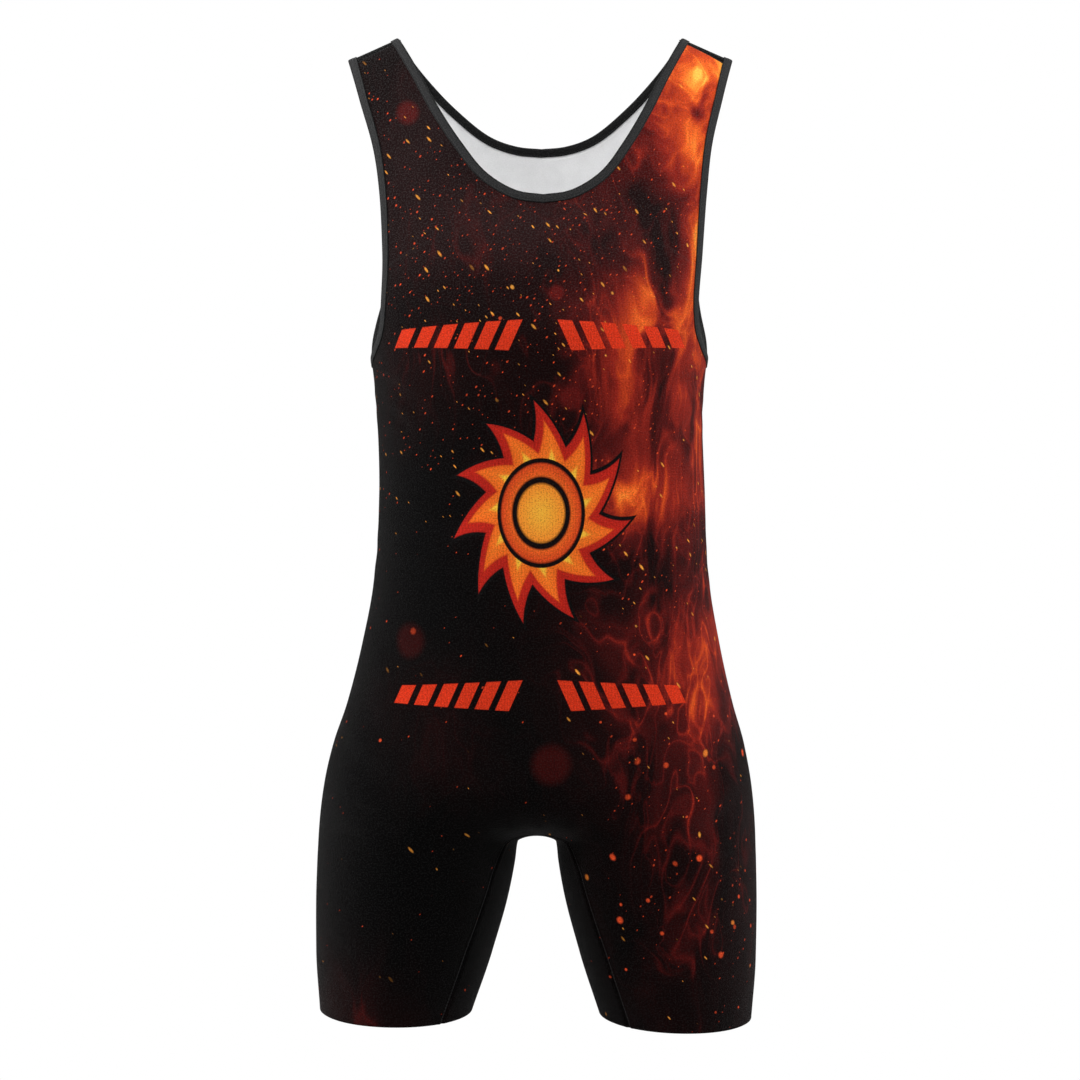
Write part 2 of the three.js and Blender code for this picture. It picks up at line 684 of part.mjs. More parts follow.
const front = partSeams(panelRows(NECK_FRONT, ARM_FRONT, 1), 1);
const back = partSeams(panelRows(NECK_BACK, ARM_BACK, -1), -1);
add("front_panel", wall(front), cloth);
add("back_panel", wall(back), cloth);
add("gusset", wall(gussetGrid()), cloth);
add("neck_binding_front", binding(neckStations(front)), tape);
add("neck_binding_back", binding(neckStations(back)), tape);
add("armhole_binding_left_front", binding(armStations(front)), tape);
add("armhole_binding_left_back", binding(armStations(back)), tape);
add("armhole_binding_right_front", binding(onTheRight(armStations(front))), tape);
add("armhole_binding_right_back", binding(onTheRight(armStations(back))), tape);

export default singlet;
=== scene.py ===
import math

import bpy
import numpy as np
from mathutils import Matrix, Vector


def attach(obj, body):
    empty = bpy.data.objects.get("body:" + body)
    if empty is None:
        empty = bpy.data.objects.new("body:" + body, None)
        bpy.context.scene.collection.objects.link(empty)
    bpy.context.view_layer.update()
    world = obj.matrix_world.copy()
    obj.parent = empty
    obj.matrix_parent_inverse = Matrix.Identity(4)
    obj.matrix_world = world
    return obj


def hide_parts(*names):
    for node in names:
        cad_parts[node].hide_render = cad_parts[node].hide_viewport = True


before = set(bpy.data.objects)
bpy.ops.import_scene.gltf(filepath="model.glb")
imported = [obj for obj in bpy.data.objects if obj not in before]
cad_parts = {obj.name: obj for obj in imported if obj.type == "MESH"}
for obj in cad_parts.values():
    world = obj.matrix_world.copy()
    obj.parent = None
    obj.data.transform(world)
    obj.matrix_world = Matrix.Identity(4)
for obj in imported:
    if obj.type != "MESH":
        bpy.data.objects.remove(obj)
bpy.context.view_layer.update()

# ---------------------------------------------------------------- the form, as in the frame
BINDING_WIDTH = 6.2
HEM_DROP = 828.5
NECK_FRONT_DROP = 147
NECK_BACK_DROP = 80
UNDERARM_DROP = 274
HEM_ASKEW = 7.7
ASKEW_FROM = 640
HEM_HALF_WIDTH = 184
RIDGE_X = 120.8
RIDGE_SLOPE = 0.436
SHOULDER_ROUNDING = 130
SLOPE_FADES_BY = 150
FAN_DROP = 712
GAP_REACH = 200
OUTSIDE = 160
CROTCH_SEAM = {1: -34, -1: 48}
CHEST_DROP = 330
THIGH_DROP = 668
UPPER_ARMHOLE_SHARE = 0.42

SWAY = np.array([
    (0, 0), (60, 0.8), (140, 2.6), (190, 2), (240, -0.4), (300, -0.6), (390, 1.7), (470, 1.2),
    (560, 0), (620, -1.7), (700, -2.8), (840, -3.8),
], float)
# drop, side, centre, front, back, mid, square, web
SECTIONS = np.array([
    (0, 186, 0, 80, 70, 0, 2.2, 0),
    (60, 178, 0, 82, 80, 0, 2.25, 0),
    (120, 167, 0, 88, 92, 0, 2.3, 0),
    (180, 155.5, 0, 99, 99, 0, 2.35, 0),
    (230, 147.8, 0, 107, 100, 0, 2.35, 0),
    (275, 142.3, 0, 110, 96, 0, 2.35, 0),
    (305, 139.4, 0, 109, 91, 0, 2.35, 0),
    (343, 138, 0, 106, 86, 0, 2.3, 0),
    (411, 139.1, 0, 100, 79, 0, 2.3, 0),
    (462, 142.9, 0, 98, 81, 1, 2.3, 1),
    (513, 151.9, 4, 98, 91, 3, 2.3, 1),
    (565, 164.3, 20, 99, 106, 5, 2.3, 1),
    (599, 175, 42, 98, 114, 7, 2.25, 1),
    (633, 182.2, 69, 96, 117, 8, 2.2, 0.9),
    (660, 185.5, 90, 92, 115, 9, 2.1, 0.62),
    (672, 186.3, 98, 90, 112, 9, 2.1, 0.42),
    (678, 186.6, 100.6, 89, 110, 9, 2.1, 0.33),
    (688, 187, 102, 88, 107, 9, 2.1, 0.1),
    (700, 187.5, 102.9, 87, 105, 9, 2.1, 0),
    (735, 188.2, 106.6, 84, 98, 8, 2.1, 0),
    (778, 187.7, 112.4, 81, 90, 6, 2.05, 0),
    (HEM_DROP, 184, 119, 77, 82, 4, 2.05, 0),
], float)
# x, drop
NECKLINE = {
    1: np.array([
        (122, 0), (101, 40), (85, 72), (67, 102), (47, 128), (22, 143.5), (0, NECK_FRONT_DROP),
    ], float),
    -1: np.array([(122, 0), (101, 24), (76, 48), (46, 70), (22, 78), (0, NECK_BACK_DROP)], float),
}
# degrees from the side, drop
ARMHOLE = {
    1: np.array([
        (30.4, 0), (34.4, 52), (37.4, 99), (36.9, 140), (34.6, 179), (32.2, 212), (29.5, 236),
        (26.5, 251), (21.5, 261), (14, 268.5), (6.5, 272.5), (0, UNDERARM_DROP),
    ], float),
    -1: np.array([
        (30.4, 0), (34, 52), (36.5, 99), (34.7, 150), (29, 200), (23.5, 222), (16.5, 240),
        (8, 257), (3.3, 267), (0, UNDERARM_DROP),
    ], float),
}
# drop, front, back
GUSSET_SEAM = np.array([(FAN_DROP, 141, 140), (740, 137, 137), (780, 133, 133), (HEM_DROP, 129, 129)], float)

# the mesh's steps: many more than the frame's, for smooth light
NECK_STEPS = 52
ARM_STEPS = 44
TRUNK_STEPS = 76
CROTCH_STEPS = 18
LEG_STEPS = 34
COLUMNS = 60
GUSSET_COLUMNS = 22
FINE_STEPS, PATH_STEPS = 160, 400  # for measuring along a row and a path
LAST_ARM = NECK_STEPS + ARM_STEPS
LAST_TRUNK = LAST_ARM + TRUNK_STEPS

CLOTH = 1.0  # thickness of the sheet
TAPE = 0.9  # thickness of the binding's tape
NO_AREA = 1e-4  # a triangle with less than this is dropped
PRESSED = 0.25  # how far the cloth under a binding is pressed in
RIM_BULGE = 0.3  # how far a sheet's rounded rim stands out past its edge
ON_MIDDLE = 1e-4  # a point this close to the middle is put on it
UPRIGHT = 1.5707  # a turn above this runs straight up, in radians


def curve(table, column):
    """A smooth curve through a table's rows that never overshoots them."""
    xs, ys = table[:, 0], table[:, column]
    slope = np.diff(ys) / np.diff(xs)
    tangent = np.empty_like(ys)
    tangent[0], tangent[-1] = slope[0], slope[-1]
    a, b = slope[:-1], slope[1:]
    tangent[1:-1] = np.where(a * b <= 0, 0, 2 * a * b / np.where(a + b == 0, 1, a + b))

    def at(x):
        i = np.clip(np.searchsorted(xs, x) - 1, 0, len(xs) - 2)
        h = xs[i + 1] - xs[i]
        t = np.clip((x - xs[i]) / h, 0, 1)
        u = 1 - t
        return (
            ys[i] * u * u * (1 + 2 * t)
            + ys[i + 1] * t * t * (3 - 2 * t)
            + h * t * u * (tangent[i] * u - tangent[i + 1] * t)
        )

    return at


SECTION_CURVES = [curve(SECTIONS, i) for i in range(1, 8)]
sway = curve(SWAY, 1)
seam_angle = {1: curve(GUSSET_SEAM, 1), -1: curve(GUSSET_SEAM, 2)}


class Section:
    """The cross-sections of half the body at some drops."""

    def __init__(self, drop):
        side, self.centre, front, back, self.mid, self.square, web = (c(drop) for c in SECTION_CURVES)
        below = np.clip(drop / SHOULDER_ROUNDING, 0, 1)
        cap = np.sqrt(1 - (1 - below) ** 2)
        self.side = side
        self.reach = side - self.centre
        self.forward = cap * (front + self.mid)
        self.backward = cap * (back - self.mid)
        flush = 2 * self.reach + self.forward + self.backward
        self.blend = web * flush * (np.hypot(self.centre / self.reach, 1) - 1)


def lift(x, drop):
    return RIDGE_SLOPE * (RIDGE_X - x) * np.clip(1 - drop / SLOPE_FADES_BY, 0, 1) ** 2


def drop_of(x, z):
    drop = np.maximum(-z, 0)
    for _ in range(60):
        drop = np.maximum(lift(x, drop) - z, 0)
    return drop


def ring_field(x, y, s):
    depth = np.maximum(np.where(y < s.mid, s.forward, s.backward), 1e-9)
    across = np.abs((x - s.centre) / s.reach) ** s.square
    along = np.abs((y - s.mid) / depth) ** s.square
    return ((across + along) ** (1 / s.square) - 1) * (s.reach + s.forward) / 2


def body_field(x, y, z=None, s=None):
    s = s or Section(-z)
    here, other = ring_field(x, y, s), ring_field(-x, y, s)
    blend = np.maximum(s.blend, 1e-6)
    overlap = np.maximum(blend - np.abs(here - other), 0) / blend
    return np.minimum(here, other) - np.where(s.blend < 1e-6, 0, overlap**2 * blend / 4)


def crossing(field, count, start, end, step):
    """The distance at which each of some fields along a line first changes sign."""
    first = np.sign(field(np.full(count, float(start))))
    near = np.full(count, float(end))
    found = np.zeros(count, bool)
    for k in np.arange(start + step, end + step, step):
        hit = ~found & (np.sign(field(np.full(count, k))) != first)
        near[hit] = k - step
        found |= hit
    far = near + step
    for _ in range(34):
        between = (near + far) / 2
        same = np.sign(field(between)) == first
        near = np.where(same, between, near)
        far = np.where(same, far, between)
    return (near + far) / 2


def surface(angle, drop):
    """Points of the outer surface of the left half."""
    angle, drop = np.broadcast_arrays(np.asarray(angle, float), np.asarray(drop, float))
    shape = angle.shape
    angle, drop = angle.ravel(), drop.ravel()
    s = Section(drop)
    power = 2 / s.square
    c, n = np.cos(angle), np.sin(angle)
    x = s.reach * np.sign(c) * np.abs(c) ** power
    y = -np.where(angle >= 0, s.forward, s.backward) * np.sign(n) * np.abs(n) ** power
    scale = np.ones_like(x)
    bridged = s.blend > 1e-6
    if bridged.any():
        part = Section(drop[bridged])
        bx, by = x[bridged], y[bridged]
        scale[bridged] = crossing(
            lambda k: body_field(part.centre + k * bx, part.mid + k * by, s=part), len(bx), 0.5, 4, 0.1
        )
    across = s.centre + scale * x
    return np.stack([across, s.mid + scale * y, lift(across, drop) - drop], -1).reshape(*shape, 3)


def located(points, face):
    """The angles and drops of points on the surface."""
    drop = drop_of(points[..., 0], points[..., 2])
    s = Section(drop)
    depth = np.maximum(s.forward if face > 0 else s.backward, 1e-9)
    across = (points[..., 0] - s.centre) / s.reach
    along = np.abs(points[..., 1] - s.mid) / depth
    half = s.square / 2
    angle = np.arctan2(along**half, np.sign(across) * np.abs(across) ** half)
    return np.stack([face * angle, drop], -1)


def seen_at(x, z, face):
    """The angles and drops of the places seen at x and z from straight ahead."""
    drop = drop_of(x, z)
    s = Section(drop)
    ratio = np.clip(x / s.side, 0, 1)
    return np.stack([face * np.arccos(ratio ** (s.square / 2)), drop], -1)


def unit(v):
    return v / np.maximum(np.linalg.norm(v, axis=-1, keepdims=True), 1e-12)


def mirrored(v, flip):
    return v * np.array([flip, 1, 1])


def on_middle(x):
    return np.where(np.abs(x) < ON_MIDDLE, 0, x)


def normals_at(points, places):
    """Outward normals of the surface at points, given their angles and drops."""
    angle, drop = places[..., 0], places[..., 1]
    x, y, z = points[..., 0], points[..., 1], points[..., 2]
    e, turn = 0.4, 0.004
    from_field = np.stack([
        body_field(x + e, y, z) - body_field(x - e, y, z),
        body_field(x, y + e, z) - body_field(x, y - e, z),
        body_field(x, y, z + e) - body_field(x, y, z - e),
    ], -1)
    high = np.minimum(drop, SLOPE_FADES_BY + 2)
    lowered = np.maximum(high, 0.5)
    round_ = surface(angle + turn, lowered) - surface(angle - turn, lowered)
    down = surface(angle, lowered + e) - surface(angle, lowered - e)
    from_steps = np.cross(round_, down)
    normal = np.where((drop > SLOPE_FADES_BY + 2)[..., None], from_field, from_steps)
    normal = np.where((drop < 0.5)[..., None], np.array([RIDGE_SLOPE, 0, 1.0]), normal)
    normal = unit(normal)
    normal[..., 0] = np.where(np.abs(x) < ON_MIDDLE, 0, normal[..., 0])
    return unit(normal)


def catmull(corners):
    """A centripetal Catmull-Rom line through 2-D corners, by share."""
    ends = np.vstack([2 * corners[0] - corners[1], corners, 2 * corners[-1] - corners[-2]])

    def at(share):
        p = np.asarray(share, float) * (len(corners) - 1)
        i = np.clip(np.floor(p).astype(int), 0, len(corners) - 2)
        t = (p - i)[..., None]
        p0, p1, p2, p3 = (ends[i + k] for k in range(4))
        pairs = (p0, p1), (p1, p2), (p2, p3)
        dt0, dt1, dt2 = (np.sqrt(np.linalg.norm(b - a, axis=-1, keepdims=True)) for a, b in pairs)
        m1 = ((p1 - p0) / dt0 - (p2 - p0) / (dt0 + dt1) + (p2 - p1) / dt1) * dt1
        m2 = ((p2 - p1) / dt1 - (p3 - p1) / (dt1 + dt2) + (p3 - p2) / dt2) * dt1
        return p1 + m1 * t + (-3 * p1 + 3 * p2 - 2 * m1 - m2) * t**2 + (2 * p1 - 2 * p2 + m1 + m2) * t**3

    return at


def edge_path(table, face, by_x):
    line = catmull(table)

    def at(share):
        p = line(share)
        if by_x:
            return seen_at(np.maximum(p[..., 0], 0), -p[..., 1], face)
        return np.stack([face * np.radians(p[..., 0]), p[..., 1]], -1)

    return at


def run_of(points):
    return np.concatenate([[0], np.cumsum(np.linalg.norm(np.diff(points, axis=0), axis=1))])


def spaced(path, steps, close=()):
    """Places along a path at equal spacing, after some close ones at given distances."""
    shares = np.linspace(0, 1, PATH_STEPS + 1)
    places = path(shares)
    run = run_of(surface(places[:, 0], places[:, 1]))
    start = close[-1] if close else 0
    rest = np.linspace(start, run[-1], steps + 1 - len(close))
    return path(np.interp([*([0, *close[:-1]] if close else []), *rest], run, shares))


def middle(drop, face):
    """Places down the middle of the front or the back."""
    s = Section(drop)
    gap = crossing(lambda d: body_field(0 * d, face * (d - OUTSIDE), s=s), len(drop), 0, OUTSIDE, 1)
    points = np.stack([0 * drop, face * (gap - OUTSIDE), lift(0, drop) - drop], -1)
    return located(points, face)


TURNS = (math.pi / 2) * (1 - np.arange(CROTCH_STEPS) / CROTCH_STEPS) ** 0.8
ROW_TURN = np.concatenate([TURNS, np.zeros(LEG_STEPS + 1)])
ROW_DROP = np.concatenate([np.full(CROTCH_STEPS, FAN_DROP), np.linspace(FAN_DROP, HEM_DROP, LEG_STEPS + 1)])


def gap_point(y, turn, drop):
    """Points of the surface between the legs, met by lines that fan out from the middle."""
    across, up = np.cos(turn), np.sin(turn)
    reach = crossing(lambda d: body_field(d * across, y, d * up - drop), len(y), 0, GAP_REACH, 1)
    x = np.where(turn > UPRIGHT, 0, reach * across)
    return np.stack([x, y, reach * up - drop], -1)


def seam_y(face):
    on_leg = surface(face * np.radians(seam_angle[face](ROW_DROP)), ROW_DROP)[:, 1]
    share = np.sin(ROW_TURN) ** 2
    return on_leg * (1 - share) + CROTCH_SEAM[face] * share


RIDGE_ROWS = 4
TURNED_SEAM = 21  # from the ridge to the stitched line across the front of each strap
TURNED_SEAM_DEPTH = 0.7
# distances from the ridge of the strap's first rows
CLOSE = (0.7, 1.5, 2.6, 4.2, 8.4, 12.8, 17, 19.2, 20.2, 20.7, 21.3, 21.8, 22.8, 25)
BESIDE = np.array([0, 0.5, 1.05, 1.7, 2.5, 3.5, 4.8, 6.6, 9.0])  # first columns beside a seam
NARROW_ROW = 70  # in a row shorter than this they are closer


def binding_border(edge, opposite, face, last=None):
    """The inner border of a binding, as places, from its outer edge."""
    points = surface(edge[:, 0], edge[:, 1])
    normals = normals_at(points, edge)
    tangent = np.zeros_like(points)
    tangent[1:-1] = points[2:] - points[:-2]
    tangent[0] = tangent[-1] = (-1, 0, 0)
    across = unit(np.cross(tangent, normals)) * BINDING_WIDTH
    over = surface(opposite[:, 0], opposite[:, 1])
    side = np.sign(across[1] @ (over[1] - points[1]))
    border = located(points + side * across, face)
    on_ridge = points[0, 0] + np.sign(over[0, 0] - points[0, 0]) * BINDING_WIDTH
    border[0] = seen_at(np.array(on_ridge), lift(np.array(on_ridge), 0), face)
    # close to the ridge, where the form has no depth yet, the border runs straight to its next place
    k = RIDGE_ROWS
    t = (run_of(points[: k + 1]) / run_of(points[: k + 1])[-1])[:k, None]
    border[:k, :1] = border[0, 0] * (1 - t) + border[k, 0] * t
    border[:k, 1:] = border[k, 1] * t**2
    if last is not None:
        border[-1] = last
    return border


def panel_places(face):
    """The places of a panel's left half, its rows running from the outer edge to the inner one."""
    neck_path = edge_path(NECKLINE[face], face, True)
    arm_path = edge_path(ARMHOLE[face], face, False)
    share = UPPER_ARMHOLE_SHARE
    neckline = spaced(neck_path, NECK_STEPS, CLOSE)
    armhole = np.vstack([
        spaced(lambda t: arm_path(t * share), NECK_STEPS, CLOSE),
        spaced(lambda t: arm_path(share + t * (1 - share)), ARM_STEPS)[1:],
    ])
    armhole[-1] = (0, UNDERARM_DROP)
    at_gusset = gap_point(seam_y(face), ROW_TURN, ROW_DROP)
    seam = located(at_gusset, face)
    crotch = seam[0, 1]
    neck_drop = drop_of(np.array(0.0), np.array(-NECKLINE[face][-1, 1]))
    down = lambda a, b: (lambda t: middle(a + (b - a) * t, face))
    neck_border = binding_border(neckline, armhole[: NECK_STEPS + 1], face)
    below_neck = max(float(neck_border[-1, 1]), float(neck_drop) + BINDING_WIDTH)
    lower = spaced(down(below_neck, CHEST_DROP), ARM_STEPS)[1:]
    inner = np.vstack([neckline, lower, spaced(down(CHEST_DROP, crotch), TRUNK_STEPS)[1:-1], seam])
    arm_border = binding_border(armhole, inner[: len(armhole)], face, (0, UNDERARM_DROP + BINDING_WIDTH))
    side = lambda a, b: (lambda t: np.stack([0 * t, a + (b - a) * t], -1))
    outer = np.vstack([
        armhole,
        spaced(side(UNDERARM_DROP + BINDING_WIDTH, THIGH_DROP), TRUNK_STEPS)[1:],
        spaced(side(THIGH_DROP, HEM_DROP), CROTCH_STEPS + LEG_STEPS)[1:],
    ])
    start, end = outer.copy(), inner.copy()
    start[: len(arm_border)] = arm_border
    end[: len(neck_border)] = neck_border
    fine = np.linspace(0, 1, FINE_STEPS + 1)
    dense = start[:, None] + (end - start)[:, None] * fine[None, :, None]
    points = surface(dense[..., 0], dense[..., 1])
    places, beside = (np.empty((len(outer), COLUMNS + 3, 2)) for _ in range(2))
    for r, line in enumerate(points):
        run = run_of(line)
        close = BESIDE * min(1, run[-1] / NARROW_ROW)
        inside = np.linspace(close[-1], run[-1] - close[-1], COLUMNS + 3 - 2 * len(close))
        wanted = np.concatenate([close[:-1], inside, run[-1] - close[:-1][::-1]])
        t = np.interp(wanted, run, fine)[:, None]
        places[r, 1:-1] = start[r] * (1 - t) + end[r] * t
        beside[r, 1:-1, 0], beside[r, 1:-1, 1] = wanted, run[-1] - wanted
    places[:, 0], places[:, -1] = outer, inner
    beside[:, 0] = (0, 1e3)
    beside[:, -1] = (1e3, 0)
    return places, beside


# ---------------------------------------------------------------- creases
# Each crease is a line of points on the body that the cloth is nearest to, with its depth (less
# than 0 is a ridge) and width in millimetres. face is 1 on the front and -1 on the back, x and
# drop are as seen from the front, and y follows from the form.
CREASES = [
    # under the wearer's right arm (image left)
    (1, [(-140, 291), (-118, 303), (-96, 321)], 1.5, 6),
    (1, [(-139, 312), (-121, 322), (-107, 336)], 0.9, 5),
    (1, [(-131, 262), (-108, 277), (-82, 284)], 1.0, 7),
    # the hollow below the upper chest, and the spread above it
    (1, [(-104, 214), (-52, 226), (6, 229), (58, 224), (103, 211)], 2.2, 15),
    (1, [(-60, 168), (-22, 178), (17, 179), (57, 166)], -0.9, 12),
    # under the wearer's left arm
    (1, [(140, 288), (115, 298), (88, 305)], 1.3, 6.5),
    (1, [(139, 318), (124, 331), (114, 350)], 1.1, 5.5),
    (1, [(129, 256), (112, 268), (97, 272)], 0.8, 6),
    # waist, front
    (1, [(-132, 400), (-110, 409), (-78, 413), (-52, 409)], 1.6, 10),
    (1, [(-141, 436), (-120, 444), (-97, 446)], 1.2, 7),
    (1, [(133, 412), (114, 420), (83, 421), (62, 416)], 1.6, 10),
    (1, [(142, 447), (113, 452), (92, 448)], 1.0, 8),
    (1, [(-30, 452), (4, 457), (33, 453)], 0.7, 10),
    # hips and groin, front
    (1, [(-163, 606), (-138, 618), (-104, 641), (-70, 668)], 3.3, 13),
    (1, [(-140, 508), (-118, 518), (-90, 515)], 1.2, 12),
    (1, [(-152, 570), (-132, 584), (-102, 600)], 1.8, 12),
    (1, [(-155, 643), (-128, 655), (-101, 674)], 1.7, 9),
    (1, [(-96, 610), (-66, 640), (-40, 668)], 1.3, 9),
    (1, [(163, 601), (143, 616), (108, 640), (77, 662)], 3.2, 14),
    (1, [(160, 652), (140, 659), (116, 671)], 1.8, 9.5),
    (1, [(88, 616), (62, 645), (41, 664)], 1.1, 9),
    (1, [(-20, 640), (-13, 661), (-5, 674)], 0.8, 6),
    (1, [(24, 646), (15, 664), (6, 675)], 0.6, 6),
    # thighs, front
    (1, [(-62, 712), (-76, 724), (-95, 728)], 1.0, 7),
    (1, [(70, 706), (88, 716), (104, 717)], 0.9, 7.5),
    (1, [(-170, 770), (-151, 776), (-136, 773)], 0.7, 8),
    (1, [(128, 790), (148, 796), (168, 792)], 0.7, 9),
    # under the arms, back
    (-1, [(-140, 289), (-119, 300), (-93, 315)], 1.4, 6.5),
    (-1, [(-136, 270), (-114, 262), (-96, 247)], 1.0, 6),
    (-1, [(140, 293), (121, 307), (99, 320)], 1.2, 6),
    (-1, [(137, 266), (117, 257), (103, 240)], 1.1, 6.5),
    # between the shoulder blades and down the spine
    (-1, [(-64, 176), (-34, 194), (-6, 199)], 1.0, 9),
    (-1, [(58, 168), (30, 187), (9, 190)], 0.9, 8.5),
    (-1, [(2, 210), (-1, 280), (3, 350), (1, 420)], 1.5, 13),
    # small of the back
    (-1, [(-92, 402), (-48, 414), (6, 413), (44, 405)], 1.7, 9),
    (-1, [(-58, 434), (-14, 443), (31, 440), (80, 431)], 2.0, 10),
    (-1, [(-139, 424), (-118, 432), (-98, 430)], 1.2, 8),
    (-1, [(141, 400), (117, 408), (94, 405)], 1.1, 8),
    (-1, [(-70, 466), (-28, 473), (18, 471)], 1.1, 9),
    # seat
    (-1, [(1, 540), (-1, 590), (2, 640), (0, 676)], 2.6, 10),
    (-1, [(-128, 690), (-96, 705), (-62, 706), (-40, 697)], 2.4, 10),
    (-1, [(131, 687), (98, 701), (64, 704), (43, 694)], 2.1, 11),
    (-1, [(-104, 724), (-83, 731), (-60, 728)], 1.0, 8),
    (-1, [(64, 722), (88, 729), (111, 724)], 1.2, 8.5),
    (-1, [(-168, 782), (-143, 789), (-121, 785)], 0.8, 9),
    (-1, [(120, 776), (146, 783), (165, 778)], 0.7, 8.5),
]


def crease_lines():
    lines = []
    for face, corners, depth, width in CREASES:
        line = catmull(np.array(corners, float))(np.linspace(0, 1, 17))
        x, drop = line[:, 0], drop_of(np.abs(line[:, 0]), -line[:, 1])
        s = Section(drop)
        x = np.clip(x, -s.side, s.side)
        gap = crossing(lambda d: body_field(x, face * (d - OUTSIDE), s=s), len(x), 0, OUTSIDE, 1)
        lines.append((np.stack([x, face * (gap - OUTSIDE), -line[:, 1]], -1), depth, width))
    return lines


CREASE_LINES = crease_lines()


BANK_HEIGHT, BANK_AT, BANK_WIDTH = 0.42, 1.9, 0.9  # over the crease's depth, width and width


def relief(points):
    """How far creases push each point along its normal, in millimetres."""
    flat = points.reshape(-1, 3)
    total = np.zeros(len(flat))
    for line, depth, width in CREASE_LINES:
        low, high = line.min(0) - 4 * width, line.max(0) + 4 * width
        near = np.flatnonzero(((flat > low) & (flat < high)).all(1))
        if not len(near):
            continue
        p = flat[near]
        best = np.full(len(p), 1e9)
        where = np.zeros(len(p))
        for k, (a, b) in enumerate(zip(line[:-1], line[1:])):
            t = np.clip((p - a) @ (b - a) / ((b - a) @ (b - a)), 0, 1)
            d = np.linalg.norm(p - a - t[:, None] * (b - a), axis=1)
            closer = d < best
            best = np.where(closer, d, best)
            where = np.where(closer, (k + t) / (len(line) - 1), where)
        fade = np.sin(np.pi * np.clip(0.06 + 0.88 * where, 0, 1)) ** 0.8
        trough = np.exp(-((best / width) ** 2))
        banks = np.exp(-(((best - BANK_AT * width) / (BANK_WIDTH * width)) ** 2))
        total[near] += depth * fade * (BANK_HEIGHT * banks - trough)
    return total.reshape(points.shape[:-1])


SEAM_DEPTH = 0.75
SHOULDER_SEAM_TO, SIDE_SEAM_FROM = -35, -255  # heights
SIDE_SEAM_SHARE = 0.72  # of the half width: the side seams lie further out than this


def seam_roll(points):
    """The shallow groove that the shoulder and side seams pull the cloth and binding into."""
    x, y, z = np.abs(points[..., 0]), points[..., 1], points[..., 2]
    shoulder = np.where(z > SHOULDER_SEAM_TO, np.exp(-((y / 1.3) ** 2)), 0)
    s = Section(np.maximum(-z, 0))
    at_side = (x > SIDE_SEAM_SHARE * s.side) & (z < SIDE_SEAM_FROM)
    beside = np.where(at_side, np.exp(-(((y - s.mid) / 1.25) ** 2)), 0)
    return -SEAM_DEPTH * np.maximum(shoulder, beside)


def gusset_roll(distance):
    """The gusset's flat seam: a groove with a low ridge along each side."""
    ridge = 0.42 * np.exp(-(((distance - 2.4) / 1.0) ** 2))
    return ridge - SEAM_DEPTH * np.exp(-((distance / 0.9) ** 2))


def smoothstep(x, a, b):
    t = np.clip((x - a) / (b - a), 0, 1)
    return t * t * (3 - 2 * t)


def hung(points):
    """Points moved a little askew, as the worn garment hangs, and turned into metres."""
    p = points.copy()
    drop = -points[..., 2]
    p[..., 0] += sway(drop)
    p[..., 2] -= smoothstep(drop, ASKEW_FROM, HEM_DROP) * HEM_ASKEW * p[..., 0] / (2 * HEM_HALF_WIDTH)
    return p / 1000


# ---------------------------------------------------------------- meshes
def added(name, data):
    obj = bpy.data.objects.new(name, data)
    bpy.context.scene.collection.objects.link(obj)
    return obj


def mesh_object(name, vertices, faces, materials, of_face=None, attribute=None):
    mesh = bpy.data.meshes.new(name)
    mesh.from_pydata(vertices.tolist(), [], faces.tolist())
    mesh.validate()
    mesh.polygons.foreach_set("use_smooth", np.ones(len(mesh.polygons), bool))
    for material in materials:
        mesh.materials.append(material)
    if of_face is not None:
        mesh.polygons.foreach_set("material_index", np.asarray(of_face, np.int32))
    if attribute is not None:
        layer = mesh.attributes.new("cloth", "FLOAT_VECTOR", "POINT")
        layer.data.foreach_set("vector", np.asarray(attribute, np.float32).ravel())
    mesh.update()
    return added(name, mesh)


def grid_triangles(index):
    a, b, c, d = index[:-1, :-1], index[:-1, 1:], index[1:, 1:], index[1:, :-1]
    return np.concatenate([np.stack(corners, -1).reshape(-1, 3) for corners in ((a, b, c), (a, c, d))])


